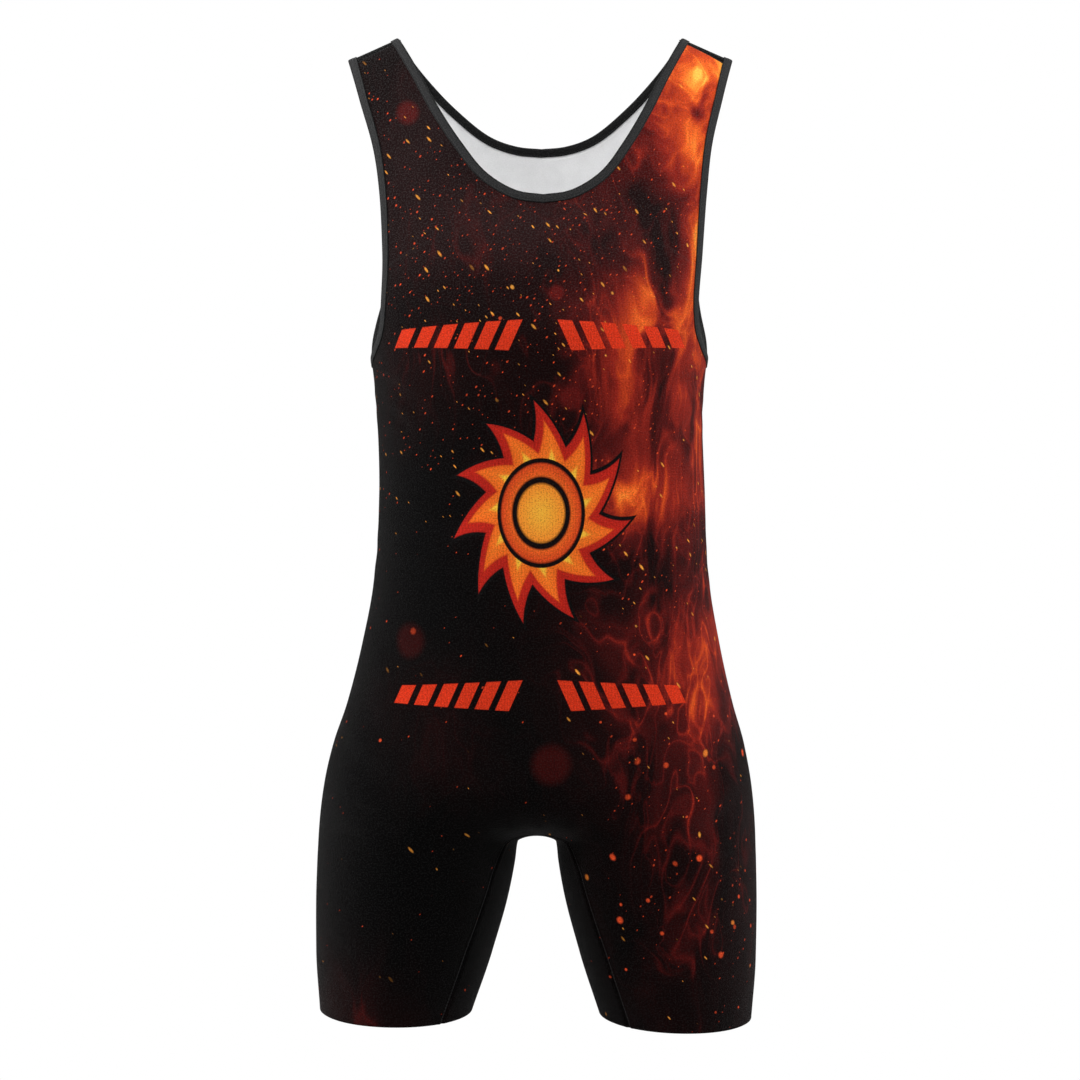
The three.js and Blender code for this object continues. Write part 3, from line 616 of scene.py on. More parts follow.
def sheet_mesh(name, left, right, share_middle, materials):
    """A cloth shell from the grids of the two halves, (points, normals, cloth), in millimetres."""
    rows, columns = left[0].shape[:2]
    index_left = np.arange(rows * columns).reshape(rows, columns)
    index_right = index_left + rows * columns
    index_right[share_middle, -1] = index_left[share_middle, -1]
    points, normals, cloth = (np.concatenate([a.reshape(-1, 3), b.reshape(-1, 3)]) for a, b in zip(left, right))
    faces = np.concatenate([grid_triangles(index_left), grid_triangles(index_right)[:, ::-1]])
    p, q, r = (points[faces[:, k]] for k in range(3))
    area_vector = np.cross(q - p, r - p)
    real = np.linalg.norm(area_vector, axis=1) > NO_AREA
    faces = faces[real]
    if (area_vector[real] * normals[faces[:, 0]]).sum() < 0:
        faces = faces[:, ::-1]
    used, faces = np.unique(faces, return_inverse=True)
    faces = faces.reshape(-1, 3)
    points, normals, cloth = points[used], unit(normals[used]), cloth[used]
    count = len(points)
    edges = np.concatenate([faces[:, [0, 1]], faces[:, [1, 2]], faces[:, [2, 0]]])
    keys = edges[:, 0] * count + edges[:, 1]
    border = edges[~np.isin(keys, edges[:, 1] * count + edges[:, 0])]
    out = np.zeros_like(points)
    step = np.cross(points[border[:, 1]] - points[border[:, 0]], normals[border[:, 0]])
    np.add.at(out, border[:, 0], step)
    np.add.at(out, border[:, 1], step)
    on_border = np.unique(border)
    rim_of = np.full(count, -1)
    rim_of[on_border] = 2 * count + np.arange(len(on_border))
    inside = points - CLOTH * normals
    rim = (points - 0.5 * CLOTH * normals + RIM_BULGE * unit(out))[on_border]
    i, j = border[:, 0], border[:, 1]
    a, b = rim_of[i], rim_of[j]
    round_the_rim = (j, i, a), (j, a, b), (b, a, i + count), (b, i + count, j + count)
    around = [np.stack(corners, -1) for corners in round_the_rim]
    every = np.concatenate([faces, *around, faces[:, ::-1] + count])
    of_face = np.arange(len(every)) >= len(every) - len(faces)
    vertices = hung(np.concatenate([points, inside, rim]))
    cloth = np.concatenate([cloth, cloth, cloth[on_border]])
    return mesh_object(name, vertices, every, materials, of_face, cloth)


# a place on the cloth is (across, up, panel) in metres; the panel is 0 on the gusset
PRINT_APART = 0.3
GUSSET_ACROSS = 0.4  # where the gusset's own places start


def panel_grids(face):
    """A panel's halves, each its (points, normals, cloth), and the rows in which they meet."""
    places, beside = panel_places(face)
    points = surface(places[..., 0], places[..., 1])
    points[..., 0] = on_middle(points[..., 0])
    normals = normals_at(points, places)
    for part in (points, normals):
        part[LAST_ARM + 1:, 0] = part[LAST_ARM + 1:, 1]
        part[NECK_STEPS + 1:, -1] = part[NECK_STEPS + 1:, -2]
    push = np.zeros(points.shape[:2])
    starts = smoothstep(np.arange(len(points) - LAST_TRUNK), -1, 4)[:, None]
    push[LAST_TRUNK:] += gusset_roll(beside[LAST_TRUNK:, :, 1]) * starts
    if face > 0:
        from_ridge = run_of(points[: NECK_STEPS + 1, points.shape[1] // 2])
        push[: NECK_STEPS + 1] -= TURNED_SEAM_DEPTH * np.exp(-((from_ridge - TURNED_SEAM) ** 2))[:, None]
    # cloth under the binding is pressed a little thinner
    push[: LAST_ARM + 1, 0] -= PRESSED
    push[: NECK_STEPS + 1, -1] -= PRESSED
    across = np.linalg.norm(np.diff(points, axis=1), axis=2)[:, ::-1]
    u = np.concatenate([np.zeros((len(points), 1)), np.cumsum(across, axis=1)], 1)[:, ::-1] + points[:, -1:, 0]
    grids = []
    for flip in (1, -1):
        p, n = mirrored(points, flip), mirrored(normals, flip)
        p = p + n * (push + seam_roll(p) + relief(p))[..., None]
        cloth = np.stack([flip * u / 1000, points[..., 2] / 1000, np.full(u.shape, face * PRINT_APART)], -1)
        grids.append((p, n, cloth))
    return *grids, np.arange(NECK_STEPS, LAST_TRUNK + 1)


def gusset_grids():
    """The gusset's halves and the rows in which they meet, as in panel_grids."""
    front, back = seam_y(1), seam_y(-1)
    length = np.abs(back - front)
    share = np.linspace(0, 1, GUSSET_COLUMNS + 1)
    share = share - 0.12 * np.sin(2 * np.pi * share) / 1.4  # closer columns beside the seams
    y = front[:, None] + (back - front)[:, None] * share
    turn = np.broadcast_to(ROW_TURN[:, None], y.shape)
    drop = np.broadcast_to(ROW_DROP[:, None], y.shape)
    points = gap_point(y.ravel(), turn.ravel(), drop.ravel()).reshape(*y.shape, 3)
    normals = normals_at(points, np.stack([0 * y, -points[..., 2]], -1))
    distance = np.minimum(share, 1 - share) * length[:, None] * 1.15
    push = gusset_roll(distance) * smoothstep(np.arange(len(points)), -1, 4)[:, None]
    grids = []
    for flip in (1, -1):
        p, n = mirrored(points, flip), mirrored(normals, flip)
        p = p + n * (push + relief(p))[..., None]
        cloth = np.stack([flip * (GUSSET_ACROSS + y / 1000), points[..., 2] / 1000, np.zeros(y.shape)], -1)
        # a row runs from front to back, so the halves meet in the first row, not in the last column
        grids.append(tuple(part.transpose(1, 0, 2)[:, ::-1] for part in (p, n, cloth)))
    return *grids, np.arange(GUSSET_COLUMNS + 1)


# The folded tape's cross-section: share of the way from border to edge, millimetres past the edge,
# height above the cloth's outer face (or below its inner face, where under is 1).
TAPE_SECTION = [
    (0.0, 0, 0.06, 0), (-0.02, 0, 0.45, 0), (0.03, 0, TAPE - 0.08, 0), (0.1, 0, TAPE, 0),
    (0.17, 0, TAPE - 0.14, 0), (0.23, 0, TAPE - 0.22, 0), (0.29, 0, TAPE - 0.1, 0), (0.4, 0, TAPE + 0.06, 0),
    (0.6, 0, TAPE + 0.14, 0), (0.8, 0, TAPE + 0.14, 0), (1, 0.1, TAPE + 0.08, 0), (1, 0.62, TAPE - 0.12, 0),
    (1, 1.0, TAPE - 0.48, 0), (1, 1.22, 0.1, 0),
    (1, 1.22, 0.1, 1), (1, 1.0, TAPE - 0.48, 1), (1, 0.62, TAPE - 0.12, 1), (1, 0.1, TAPE + 0.08, 1),
    (0.7, 0, TAPE + 0.1, 1), (0.4, 0, TAPE + 0.03, 1), (0.29, 0, TAPE - 0.1, 1), (0.23, 0, TAPE - 0.2, 1),
    (0.17, 0, TAPE - 0.1, 1), (0.08, 0, TAPE, 1), (0.0, 0, TAPE - 0.2, 1), (0.0, 0, 0.06, 1),
    (0.5, 0, 0.06, 1), (1, 0.12, 0.06, 1), (1, 0.12, 0.06, 0), (0.5, 0, 0.06, 0),
]


def stations(places, flip=1):
    """Edge and border points and normals along a binding, from (edge, border) places."""
    out = []
    for place in places:
        p = surface(place[:, 0], place[:, 1])
        p[..., 0] = on_middle(p[..., 0])
        p, n = mirrored(p, flip), mirrored(normals_at(p, place), flip)
        out.append((p + n * (seam_roll(p) + relief(p))[:, None], n))
    return out


def tape_points(edge, border, corner):
    """The points and normals along a binding of one corner of the tape's cross-section."""
    (pe, ne), (pb, nb) = edge, border
    t, past, off, under = corner
    base = pb + (pe - pb) * t
    n = unit(nb + (ne - nb) * t)
    away = pe - pb
    away = unit(away - ne * (away * ne).sum(1)[:, None])
    height = -CLOTH - off if under else off
    return base + n * height + away * past, n


def binding_object(name, edge, border, material):
    """A strip of folded tape, closed at its ends, and its length in millimetres."""
    loops = np.stack([tape_points(edge, border, corner)[0] for corner in TAPE_SECTION], 1)
    count, size = loops.shape[:2]
    index = np.arange(count * size).reshape(count, size)
    points = loops.reshape(-1, 3)
    # the cut ends, closed by strips between the tape's two faces
    partners = ((29, 0, 10), (28, 10, 14), (27, 14, 18), (26, 18, 25), (25, 24, 25))
    strip = [(corner, partner) for partner, first, end in partners for corner in range(first, end)]
    caps = []
    for (a, b), (c, d) in zip(strip, strip[1:]):
        if a != c:
            caps.append((a, c, b))
        if b != d:
            caps.append((b, c, d))
    caps = np.array(caps)
    sides = grid_triangles(np.concatenate([index, index[:, :1]], 1))
    faces = np.concatenate([sides, caps[:, [0, 2, 1]], caps + (count - 1) * size])
    p = points[faces]
    if (p[:, 0] * np.cross(p[:, 1], p[:, 2])).sum() < 0:
        faces = faces[:, ::-1]
    along = run_of((edge[0] + border[0]) / 2)
    across = run_of(loops[count // 2])
    cloth = np.stack(np.broadcast_arrays(along[:, None] / 1000, across[None, :] / 1000, 0.0), -1).reshape(-1, 3)
    return mesh_object(name, hung(points), faces, [material], None, cloth), along[-1]


def thread(lines, pitch, length, width, height):
    """Stitches along lines of (points, normals): small rounded bars, as one mesh in millimetres."""
    rings = [(-1, 0), (-0.72, 0.75), (0, 1), (0.72, 0.75), (1, 0)]  # place along half the length, thickness
    sides, tip_depth = 6, 0.12
    turn = 2 * np.pi * np.arange(sides) / sides
    vertices, faces, total = [], [], 0
    for points, normals in lines:
        run = run_of(points)
        count = int(run[-1] / pitch)
        middle_at = (np.arange(count) + 0.5) * run[-1] / count
        at = lambda v, s: np.stack([np.interp(s, run, v[:, k]) for k in range(3)], -1)
        p, n = at(points, middle_at), unit(at(normals, middle_at))
        along = unit(at(points, middle_at + 0.5) - at(points, middle_at - 0.5))
        n = unit(n - along * (n * along).sum(1)[:, None])
        across = np.cross(along, n)
        block = []
        for reach, radius in rings:
            centre = p + along * (reach * length / 2)
            if radius == 0:
                block.append((centre - n * tip_depth)[:, None])
            else:
                block.append(centre[:, None] + radius * (
                    across[:, None] * np.cos(turn)[None, :, None] * width / 2
                    + n[:, None] * np.sin(turn)[None, :, None] * height / 2))
        block = np.concatenate(block, 1)
        size = block.shape[1]
        around = [(k, (k + 1) % sides) for k in range(sides)]
        rows = [1 + k * sides for k in range(3)]
        shape = [(0, 1 + m, 1 + k) for k, m in around]
        for a, b in zip(rows, rows[1:]):
            for k, m in around:
                shape += [(a + k, a + m, b + m), (a + k, b + m, b + k)]
        shape += [(rows[-1] + k, rows[-1] + m, size - 1) for k, m in around]
        faces.append((np.array(shape)[None] + (total + size * np.arange(count))[:, None, None]).reshape(-1, 3))
        vertices.append(block.reshape(-1, 3))
        total += size * count
    return np.concatenate(vertices), np.concatenate(faces)


# ---------------------------------------------------------------- materials
class Value:
    """What comes out of a node: plain arithmetic on it adds more nodes."""

    def __init__(self, nodes, socket):
        self.nodes, self.socket = nodes, socket

    def __add__(self, other):
        return self.nodes.math("ADD", self, other)

    def __sub__(self, other):
        return self.nodes.math("SUBTRACT", self, other)

    def __rsub__(self, other):
        return self.nodes.math("SUBTRACT", other, self)

    def __mul__(self, other):
        return self.nodes.math("MULTIPLY", self, other)

    def __truediv__(self, other):
        return self.nodes.math("DIVIDE", self, other)

    def __rtruediv__(self, other):
        return self.nodes.math("DIVIDE", other, self)

    def __pow__(self, other):
        return self.nodes.math("POWER", self, other)

    def __abs__(self):
        return self.nodes.math("ABSOLUTE", self)


class Nodes:
    """Short calls for the nodes of one material."""

    def __init__(self, tree):
        self.tree = tree
        self.shader = tree.nodes["Principled BSDF"]
        self.painted_glint = None

    def put(self, socket, value):
        if isinstance(value, Value):
            self.tree.links.new(value.socket, socket)
        elif value is not None:
            socket.default_value = value

    def surface(self, values):
        for key, value in values.items():
            self.put(self.shader.inputs[key], value)

    def add(self, kind, inputs=(), **settings):
        node = self.tree.nodes.new("ShaderNode" + kind)
        for key, value in settings.items():
            setattr(node, key, value)
        for key, value in dict(inputs).items():
            self.put(node.inputs[key], value)
        return node

    def get(self, kind, inputs=(), out=0, **settings):
        return Value(self, self.add(kind, inputs, **settings).outputs[out])

    def math(self, operation, a, b=None, clamp=False):
        return self.get("Math", {0: a, 1: b}, operation=operation, use_clamp=clamp)

    def vector(self, operation, a, b):
        return self.get("VectorMath", {0: a, "Scale" if operation == "SCALE" else 1: b}, operation=operation)

    def step(self, value, low, high):
        """0 below low and 1 above high, smooth between. low may be the larger."""
        ends = {"Value": value, "From Min": low, "From Max": high}
        return self.get("MapRange", ends, interpolation_type="SMOOTHSTEP")

    def mix(self, share, a, b, blend="MIX"):
        node = self.add("Mix", {"Factor": share}, data_type="RGBA", blend_type=blend)
        for socket, value in zip([s for s in node.inputs if s.type == "RGBA"], (a, b)):
            self.put(socket, value)
        return Value(self, [s for s in node.outputs if s.type == "RGBA"][0])

    def ramp(self, value, stops):
        node = self.add("ValToRGB", {0: value})
        elements = node.color_ramp.elements
        while len(elements) < len(stops):
            elements.new(0.5)
        for element, (place, colour) in zip(elements, stops):
            element.position = place
            element.color = (*colour, 1)
        return Value(self, node.outputs[0])

    def noise(self, place, scale, detail=2.0, rough=0.5, distortion=0.0, out=0):
        inputs = {"Vector": place, "Scale": scale, "Detail": detail, "Roughness": rough}
        return self.get("TexNoise", {**inputs, "Distortion": distortion}, out)

    def bent(self, place, by, amount):
        """A place moved about by a noise's colour."""
        off = self.vector("SUBTRACT", by, (0.5, 0.5, 0.5))
        return self.vector("ADD", place, self.vector("SCALE", off, amount))

    def cells(self, place, scale, randomness):
        """Cells in a plane: the distance from the middle of the nearest, and three lots of its own."""
        node = self.add("TexVoronoi", {"Vector": place, "Scale": scale, "Randomness": randomness},
                        voronoi_dimensions="2D", feature="F1")
        return Value(self, node.outputs["Distance"]), self.separate(Value(self, node.outputs["Color"]))

    def separate(self, vector):
        return [Value(self, socket) for socket in self.add("SeparateXYZ", {0: vector}).outputs]

    def combine(self, x, y, z):
        return self.get("CombineXYZ", {0: x, 1: y, 2: z})


def material(name):
    made = bpy.data.materials.new(name)
    made.use_nodes = True
    return made, Nodes(made.node_tree)


COURSE_SHARE = 0.8  # a course's height over a rib's width
BUMP_HEIGHT = 0.0014


def knit(n, depth, tint, painted_glint, pitch=0.00125):
    """A knit's fine ribs, uneven grain, and pale specks that are painted glints of its sheen. Gives the place
    on the cloth and a colour multiplier.
    """
    cloth = n.get("Attribute", out="Vector", attribute_name="cloth")
    u, v, _ = n.separate(cloth)
    wobble = (n.noise(cloth, 300, 1) - 0.5) * 0.0011
    rib = n.math("SINE", (u + wobble) * (2 * math.pi / pitch))
    course = n.math("SINE", v * (2 * math.pi / (pitch * COURSE_SHARE)) + rib * 1.2)
    grain = n.noise(n.vector("MULTIPLY", cloth, (1.0, 1.35, 1.0)), 640, 2.5, 0.7)
    patch = n.noise(cloth, 38, 3, 0.6)
    yarn = (rib + course) * 0.11 + grain * 1.25
    bump = n.get("Bump", {"Strength": depth, "Distance": BUMP_HEIGHT, "Height": yarn * 0.5})
    n.surface({"Normal": bump, "Roughness": grain * 0.2 + 0.62})
    # painted glints: pale specks added to the colour where the weave's sheen would catch the light
    glint_pattern = n.noise(n.vector("MULTIPLY", cloth, (1.0, 1.2, 1.0)), 720, 1, 0.6)
    n.painted_glint = n.step(glint_pattern, 0.46, 0.66) * painted_glint
    return cloth, ((yarn - 0.62) * tint + 1.0) * (patch * 0.24 + 0.88)


def shaded(n, colour, shade):
    """Gives the surface a colour times a shade, with any painted glints added on top."""
    worked = n.mix(1.0, colour, n.combine(shade, shade, shade), "MULTIPLY")
    if n.painted_glint is not None:
        worked = n.mix(1.0, worked, n.combine(n.painted_glint, n.painted_glint, n.painted_glint), "ADD")
    n.surface({"Base Color": worked})


TEN_TURNS = 20 * math.pi  # keeps a folded angle above 0


def star(n, x, z, points, outer, inner, twist):
    """How far out a place is on a many-pointed star with curved rays, 1 on its outline, and its radius."""
    r = n.math("SQRT", x * x + z * z)
    turn = n.math("ARCTAN2", x, z) + r * twist
    wedge = math.pi / points
    folded = n.math("PINGPONG", turn + TEN_TURNS, wedge)
    a = n.math("SINE", folded) * outer
    b = n.math("SINE", wedge - folded) * inner
    return r / (outer * inner * math.sin(wedge) / (a + b)), r


# The print, in metres in the frame's axes. A patch is its weight, middle (x, z) and reach (x, z).
HOT = [
    (1.66, 0.130, -0.05, 0.055, 0.11), (0.84, 0.108, -0.22, 0.048, 0.10), (0.60, 0.085, -0.385, 0.050, 0.035),
    (0.34, 0.145, -0.33, 0.040, 0.07), (0.62, 0.160, -0.54, 0.035, 0.05), (0.26, -0.150, -0.83, 0.05, 0.06),
]
SMOKE = [
    (0.9, 0.13, -0.17, 0.10, 0.24), (1.0, 0.12, -0.47, 0.095, 0.22), (0.5, 0.03, -0.19, 0.16, 0.06),
    (0.42, 0.16, -0.74, 0.08, 0.16), (0.35, -0.14, -0.05, 0.05, 0.08), (0.35, -0.08, -0.30, 0.06, 0.03),
    (0.3, -0.10, -0.60, 0.05, 0.05), (0.3, -0.15, -0.82, 0.07, 0.06),
]
# painted light on the upper chest, as lit from above, in patches like those of the print
PAINTED_CHEST_LIGHT = [(0.66, -0.09, -0.11, 0.06, 0.07), (0.9, 0.0, -0.19, 0.10, 0.035)]
SPARKS = [
    (1.0, 0.02, -0.22, 0.12, 0.09), (0.6, -0.10, -0.14, 0.06, 0.10), (0.35, -0.06, -0.37, 0.10, 0.08),
    (0.5, 0.12, -0.45, 0.07, 0.12), (0.25, 0.13, -0.68, 0.08, 0.10),
]
LOW_SPARKS = [(0.9, 0.14, -0.72, 0.09, 0.10), (0.4, 0.12, -0.56, 0.07, 0.07)]
BLACK = (0.0008, 0.0007, 0.0007)
OUTLINE = (0.004, 0.003, 0.003)
RING = (0.006, 0.003, 0.003)
# share of the way to full heat, colour
FIRE = [
    (0.0, BLACK), (0.10, (0.010, 0.0017, 0.0017)), (0.24, (0.085, 0.0058, 0.005)), (0.40, (0.27, 0.017, 0.009)),
    (0.56, (0.56, 0.055, 0.011)), (0.72, (0.84, 0.135, 0.018)), (0.88, (0.98, 0.29, 0.035)),
    (1.0, (1.0, 0.50, 0.075)),
]
SUN_X, SUN_Z, SUN_NARROWED, SUN_RAYS = 0.001, -0.405, 0.80, 11
SUN_OUTER, SUN_INNER, SUN_TWIST, SUN_CORE = 0.078, 0.050, 9.0, 0.0355
# share of the way out to the sun's outline, colour
RAYS = [
    (0.0, (1.0, 0.62, 0.07)), (0.50, (1.0, 0.55, 0.05)), (0.56, (0.93, 0.20, 0.02)),
    (0.74, (0.90, 0.15, 0.016)), (0.78, (0.50, 0.020, 0.010)), (0.92, (0.46, 0.016, 0.010)),
    (0.94, OUTLINE), (1.0, OUTLINE),
]
# distance over the inner radius, colour
CORE = [
    (0.0, (1.0, 0.50, 0.05)), (0.36, (0.96, 0.30, 0.03)), (0.40, RING), (0.46, RING),
    (0.49, (0.85, 0.13, 0.018)), (0.63, (0.72, 0.07, 0.014)), (0.66, RING), (0.70, RING),
]
BAR_ROWS = (-0.262, -0.553)
BAR_SLANT, BAR_PITCH, BARS_FROM, BARS_TO = 0.45, 0.0085, 0.017, 0.119


def printed_knit():
    """Black stretch knit with a printed picture of fire, smoke and sparks that follows no real one."""
    made, n = material("printed_knit")
    cloth, shade = knit(n, 1.0, 1.6, 0.0082)
    where = n.get("TexCoord", out="Object")
    x, y, z = n.separate(where)
    u, v, side = n.separate(cloth)
    is_front = n.step(y, 0.01, -0.01)
    # painted light: the painted glints are brighter on the upper chest and the fronts of the straps, as lit
    # from above
    n.painted_glint = n.painted_glint * (n.step(z, -0.30, -0.17) * is_front * 1.25 + 0.85)
    # each panel is cut from its own stretch of print, so nothing runs on across a seam
    own = n.vector("ADD", where, n.combine(side, side * 2.0, side * 0.9))

    # where the fire is: down the wearer's left, with a second plume from the right hem
    bx, _, bz = n.separate(n.bent(where, n.noise(own, 4.2, 2, 0.5, out="Color"), 0.16))

    def several(patches):
        """The sum of some soft patches."""
        total = None
        for weight, cx, cz, rx, rz in patches:
            dx, dz = (bx - cx) / rx, (bz - cz) / rz
            one = n.math("POWER", math.e, (dx * dx + dz * dz) * -1.0) * weight
            total = one if total is None else total + one
        return total

    hot, smoke = several(HOT), several(SMOKE)

    # tongues and wisps: ridges of noise, drawn out upwards and bent by coarser noise
    stretched = n.vector("MULTIPLY", own, (1.0, 1.0, 0.5))
    flow = n.bent(stretched, n.noise(stretched, 7.5, 3, 0.55, out="Color"), 0.22)

    def ridges(scale, detail, distortion, sharp, power):
        """Lines where a noise crosses its middle: 1 on a line."""
        off = abs((n.noise(flow, scale, detail, 0.5, distortion) - 0.5) * sharp)
        return n.math("SUBTRACT", 1.0, off, clamp=True) ** power

    tongue = ridges(11.5, 3, 0.7, 4.3, 1.5)
    wire = ridges(24.0, 2, 1.2, 7.0, 4.0)
    strand = ridges(13.0, 1, 1.6, 13.0, 2.5)
    billow = n.step(n.noise(flow, 6.0, 5, 0.6), 0.38, 0.68)
    body = n.step(n.noise(flow, 4.4, 2, 0.5), 0.36, 0.60)

    heat = hot * (tongue * 0.76 + (billow * 0.34 + 0.10)) * (body * 0.62 + 0.46)
    haze = smoke * (billow * 0.19 + tongue * 0.07)
    wisps = smoke * (wire * 0.14 + strand * 0.20) * (billow + 0.25)
    # the fire is dimmer on the back
    level = n.math("MULTIPLY", heat + haze + wisps, n.step(y, 0.02, -0.05) * 0.62 + 0.38, clamp=True)
    # painted light: a pale reddish haze over the upper chest, patchy like smoke, standing in for the chest top
    # lit from above
    painted_chest_light = several(PAINTED_CHEST_LIGHT) * ((billow * 0.5 + 0.5) * is_front)
    colour = n.mix(painted_chest_light, n.ramp(level, FIRE), (0.021, 0.0088, 0.0088, 1))

    # sparks: dots in the cloth's own plane, the finest drawn out a little, and larger ones on the left leg
    spread = several(SPARKS) * 0.9 + 0.035
    low = several(LOW_SPARKS) + 0.03
    far_u = u + side * 7.3
    for scale, lean, drawn, small, large, chance, zone, glow in (
        (150.0, 0.7, 0.55, 0.05, 0.21, 0.24, spread, (1.0, 0.38, 0.05)),
        (190.0, -0.5, 0.8, 0.06, 0.17, 0.50, spread, (0.80, 0.075, 0.02)),
        (50.0, 0.3, 0.9, 0.03, 0.085, 0.10, spread, (1.0, 0.40, 0.06)),
        (38.0, 0.0, 1.0, 0.04, 0.12, 0.62, low, (0.86, 0.085, 0.022)),
        (30.0, 0.0, 1.0, 0.03, 0.10, 0.26, low, (1.0, 0.27, 0.035)),
    ):
        off, (lot, size, tone) = n.cells(n.combine(far_u + v * lean, v * drawn, 0.0), scale, 1.0)
        radius = size**2.5 * (large - small) + small
        dot = n.step(off / radius, 1.25, 0.5) * (tone * 0.5 + 0.5)
        colour = n.mix(dot * n.step(zone * chance - lot, -0.01, 0.01), colour, (*glow, 1))
    # soft discs of light, few and dim
    off, (lot, size, _) = n.cells(n.combine(far_u, v, 0.0), 8.5, 0.9)
    disc = n.step(off / (size * 0.11 + 0.05), 1.15, 0.55) * n.step(lot, 0.70, 0.74) * (size * -0.45 + 0.62)
    colour = n.mix(disc, colour, (0.17, 0.010, 0.008, 1))

    # the shoulders are plain from the turned seam over the ridge and on to the top of the back
    colour = n.mix(n.step(y, -0.0212, -0.0204) * n.step(z, -0.10, -0.02), colour, (*BLACK, 1))

    # a plain sun with curved rays on the belly, and rows of slanted bars above and below it
    far, r = star(n, x - SUN_X, (z - SUN_Z) * SUN_NARROWED, SUN_RAYS, SUN_OUTER, SUN_INNER, SUN_TWIST)
    sun = n.mix(n.step(r, SUN_CORE + 0.0003, SUN_CORE - 0.0003), n.ramp(far, RAYS), n.ramp(r / SUN_INNER, CORE))
    colour = n.mix(n.step(far, 1.01, 0.99) * is_front, colour, sun)
    away = abs(x)
    for height in BAR_ROWS:
        dz = z - height
        row = n.step(abs(dz) - (away * -0.055 + 0.0135), 0.0004, -0.0004)
        slid = away + dz * BAR_SLANT
        bar = n.step(n.math("PINGPONG", slid, BAR_PITCH), 0.0025, 0.0030)
        ends = n.step(slid, BARS_TO + 1e-4, BARS_TO - 1e-4) * n.step(slid, BARS_FROM - 1e-4, BARS_FROM + 1e-4)
        colour = n.mix(row * bar * (ends * is_front), colour, (0.66, 0.036, 0.010, 1))
    shaded(n, colour, shade)
    n.surface({"Specular IOR Level": 0.025, "Sheen Weight": 0.078, "Sheen Roughness": 0.28,
               "Sheen Tint": (0.9, 0.88, 0.88, 1)})
    return made


def inner_knit():
    """The unprinted inner face of the same knit."""
    made, n = material("inner_knit")
    _, shade = knit(n, 0.4, 0.16, 0.0)
    shaded(n, (0.92, 0.92, 0.925, 1), shade)
    n.surface({"Specular IOR Level": 0.2, "Sheen Weight": 0.08})
    return made


def binding_tape():
    made, n = material("binding_tape")
    cloth, shade = knit(n, 0.9, 1.5, 0.016, 0.0011)
    _, across, _ = n.separate(cloth)
    # painted shade: the tape is darker along its border with the cloth, round its fold and on its inner face;
    # only the middle of its outer face keeps the paler, lit tone
    outer = n.step(across, 0.0010, 0.0017) * n.step(across, 0.0076, 0.0062)
    shaded(n, n.mix(outer, (0.0022, 0.0022, 0.0023, 1), (0.0155, 0.0155, 0.016, 1)), shade)
    n.surface({"Specular IOR Level": 0.16, "Sheen Weight": 0.05, "Sheen Roughness": 0.4})
    return made


def thread_material(name, value):
    made, n = material(name)
    where = n.get("TexCoord", out="Object")
    twist = n.get("TexWave", {"Vector": where, "Scale": 900.0, "Distortion": 2.0, "Detail": 1.0}, "Fac")
    shaded(n, (value, value, value, 1), n.noise(where, 60, 2) * 0.5 + (twist * 0.35 + 0.55))
    bump = n.get("Bump", {"Strength": 0.5, "Distance": 0.0001, "Height": twist})
    n.surface({"Normal": bump, "Roughness": 0.6, "Specular IOR Level": 0.35})
    return made


PRINT, INSIDE, TAPE_LOOK = printed_knit(), inner_knit(), binding_tape()
THREAD, SEAM_THREAD = thread_material("binding_thread", 0.02), thread_material("seam_thread", 0.008)


# ---------------------------------------------------------------- pieces
# pitch, length, width and height of the stitches, in millimetres
BINDING_STITCH = 2.6, 2.2, 0.42, 0.34
GUSSET_STITCH = 2.6, 2.1, 0.42, 0.34
SEAM_STITCH = 1.5, 1.55, 0.9, 0.7
STITCH_SHARE = 0.23  # where the stitches lie on the binding, from border to edge
STRETCH = 1.1  # a panel's worn area over its cut area


def keep(obj, node=None):
    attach(obj, "root")
    if node:
        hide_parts(node)
    return obj


def keep_thread(name, lines, stitch, material):
    vertices, faces = thread(lines, *stitch)
    return keep(mesh_object(name, hung(vertices), faces, [material]))


def sewn_line(edge, border, height, under):
    p, n = tape_points(edge, border, (STITCH_SHARE, 0, height, under))
    return p, (-n if under else n)


def add_binding(name, edge, border, panel):
    obj, length = binding_object(f"{name}_tape", edge, border, TAPE_LOOK)
    keep(obj, name)
    lines = [sewn_line(edge, border, TAPE - 0.16, 0), sewn_line(edge, border, TAPE - 0.14, 1)]
    stitches = keep_thread(f"{name}_stitches", lines, BINDING_STITCH, THREAD)


grids = {face: panel_grids(face) for face in (1, -1)}
panels = {}
for face, where in ((1, "front"), (-1, "back")):
    cloth = sheet_mesh(f"{where}_cloth", *grids[face], [PRINT, INSIDE])
    panels[face] = keep(cloth, f"{where}_panel")
gusset = keep(sheet_mesh("gusset_cloth", *gusset_grids(), [PRINT, INSIDE]), "gusset")

for face, where in ((1, "front"), (-1, "back")):
    places, _ = panel_places(face)
    neck = places[: NECK_STEPS + 1, -1], places[: NECK_STEPS + 1, -2]
    whole = [
        [np.concatenate([a, b[::-1][1:]]) for a, b in zip(one, other)]
        for one, other in zip(stations(neck), stations(neck, -1))
    ]
    add_binding(f"neck_binding_{where}", *whole, panels[face])
    armhole = places[: LAST_ARM + 1, 0], places[: LAST_ARM + 1, 1]
    for flip, side in ((1, "left"), (-1, "right")):
        add_binding(f"armhole_binding_{side}_{where}", *stations(armhole, flip), panels[face])


def sunk(points, normals, depth):
    """A line for thread that lies below the cloth's outer face."""
    return points - depth * normals, normals


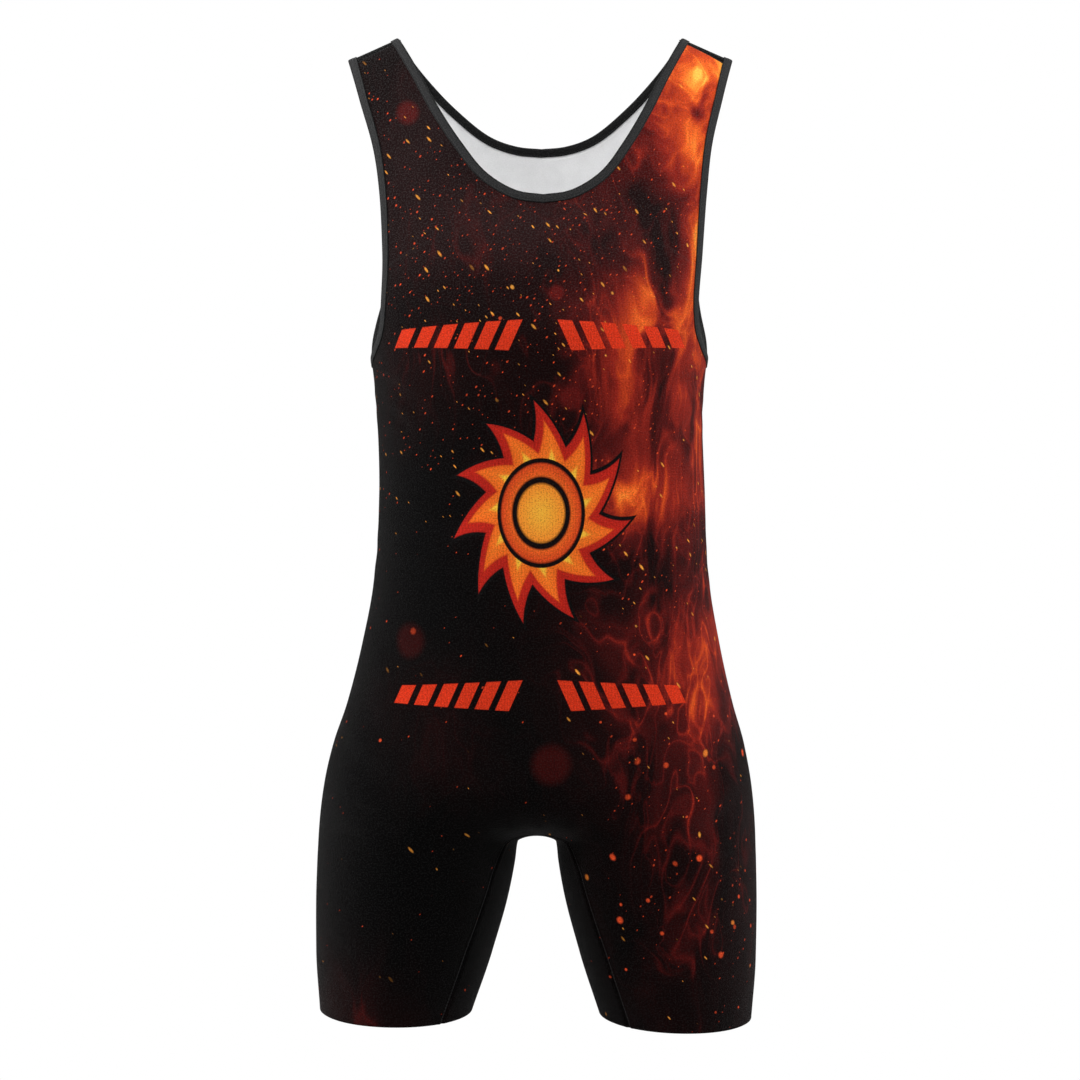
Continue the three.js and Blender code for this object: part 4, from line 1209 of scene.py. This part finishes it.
# thread that closes the seams: sides, shoulders, the straps' turned seams and the gusset's two
seam_lines, flat_lines = [], []
turned = 1 + max(i for i, distance in enumerate(CLOSE) if distance < TURNED_SEAM)
for flip in (0, 1):
    p, n, _ = grids[1][flip]
    q = grids[-1][flip][0]
    seam_lines += [
        sunk((p[LAST_ARM:, 1] + q[LAST_ARM:, 1]) / 2, n[LAST_ARM:, 1], 0.35),
        sunk(p[0], n[0], 0.35),
        sunk(*((part[turned] + part[turned + 1])[1:-1] / 2 for part in (p, n)), 0.1),
    ]
    for face in (1, -1):
        p, n, _ = grids[face][flip]
        seam_lines.append(sunk(p[LAST_TRUNK:, -2], n[LAST_TRUNK:, -2], 0.25))
        flat_lines.append(sunk(p[LAST_TRUNK:, -6], n[LAST_TRUNK:, -6], -0.06))
keep_thread("seam_thread", seam_lines, SEAM_STITCH, SEAM_THREAD)
keep_thread("gusset_stitches", flat_lines, GUSSET_STITCH, THREAD)


def cut_area(obj):
    """The area of a sheet's cut, from the mean of its two faces."""
    areas = np.empty(len(obj.data.polygons))
    obj.data.polygons.foreach_get("area", areas)
    return areas.sum() / 2 / STRETCH


for obj, width, length in ((panels[1], 0.415, 0.845), (panels[-1], 0.43, 0.86), (gusset, 0.135, 0.36)):
    min(round(float(cut_area(obj)), 4), width * length)


# ---------------------------------------------------------------- floor, light and camera
WHITE = (1, 1, 1, 1)
FLOOR_Z, FLOOR_REACH = -0.9, 9


def plain_to_camera(tree, lit, plain, end):
    """Shows the camera a plain shader where every other ray meets the lit one."""
    path, both = (tree.nodes.new("ShaderNode" + kind) for kind in ("LightPath", "MixShader"))
    for source, socket in zip((path.outputs["Is Camera Ray"], lit.outputs[0], plain.outputs[0]), both.inputs):
        tree.links.new(source, socket)
    tree.links.new(both.outputs[0], tree.nodes[end].inputs["Surface"])


floor_material, n = material("floor")
n.surface({"Base Color": (0.5, 0.5, 0.5, 1), "Roughness": 0.9})
plain_to_camera(n.tree, n.shader, n.add("Emission", {"Color": WHITE, "Strength": 1.0}), "Material Output")
floor = bpy.data.meshes.new("floor")
corners = [(x * FLOOR_REACH, y * FLOOR_REACH, FLOOR_Z) for x, y in ((-1, -1), (1, -1), (1, 1), (-1, 1))]
floor.from_pydata(corners, [], [(0, 1, 2, 3)])
floor.materials.append(floor_material)
added("floor", floor)

scene = bpy.context.scene
world = bpy.data.worlds.new("studio")
scene.world = world
world.use_nodes = True
soft, white = world.node_tree.nodes["Background"], world.node_tree.nodes.new("ShaderNodeBackground")
for background, strength in ((soft, 0.08), (white, 1.0)):
    background.inputs["Color"].default_value = WHITE
    background.inputs["Strength"].default_value = strength
plain_to_camera(world.node_tree, soft, white, "World Output")
scene.view_settings.view_transform = "Standard"

# name, place, height on the middle line that it points at, width and height, watts
for name, place, height, size, power in (
    ("key", (0.0, -1.75, 1.3), -0.25, (1.6, 0.8), 41),
    ("left_rim", (-1.35, -0.10, 0.42), -0.42, (0.5, 0.6), 24),
    ("right_rim", (1.35, -0.10, 0.42), -0.42, (0.5, 0.6), 17),
    ("fill", (0.0, -2.6, -0.4), -0.45, (2.4, 1.4), 4),
    ("behind", (0.0, 2.4, 0.9), -0.4, (1.8, 1.2), 18),
):
    light = bpy.data.lights.new(name, "AREA")
    light.shape = "RECTANGLE"
    light.size, light.size_y = size
    light.energy = power
    lamp = added(name, light)
    lamp.location = place
    lamp.rotation_euler = (Vector((0, 0, height)) - Vector(place)).to_track_quat("-Z", "Y").to_euler()

camera = bpy.data.cameras.new("camera")
camera.lens = 74.2
camera.sensor_width = 36
camera.clip_end = 60
scene.camera = added("camera", camera)
scene.camera.location = (0, -1.9, -0.4267)
scene.camera.rotation_euler = (math.pi / 2, 0, 0)
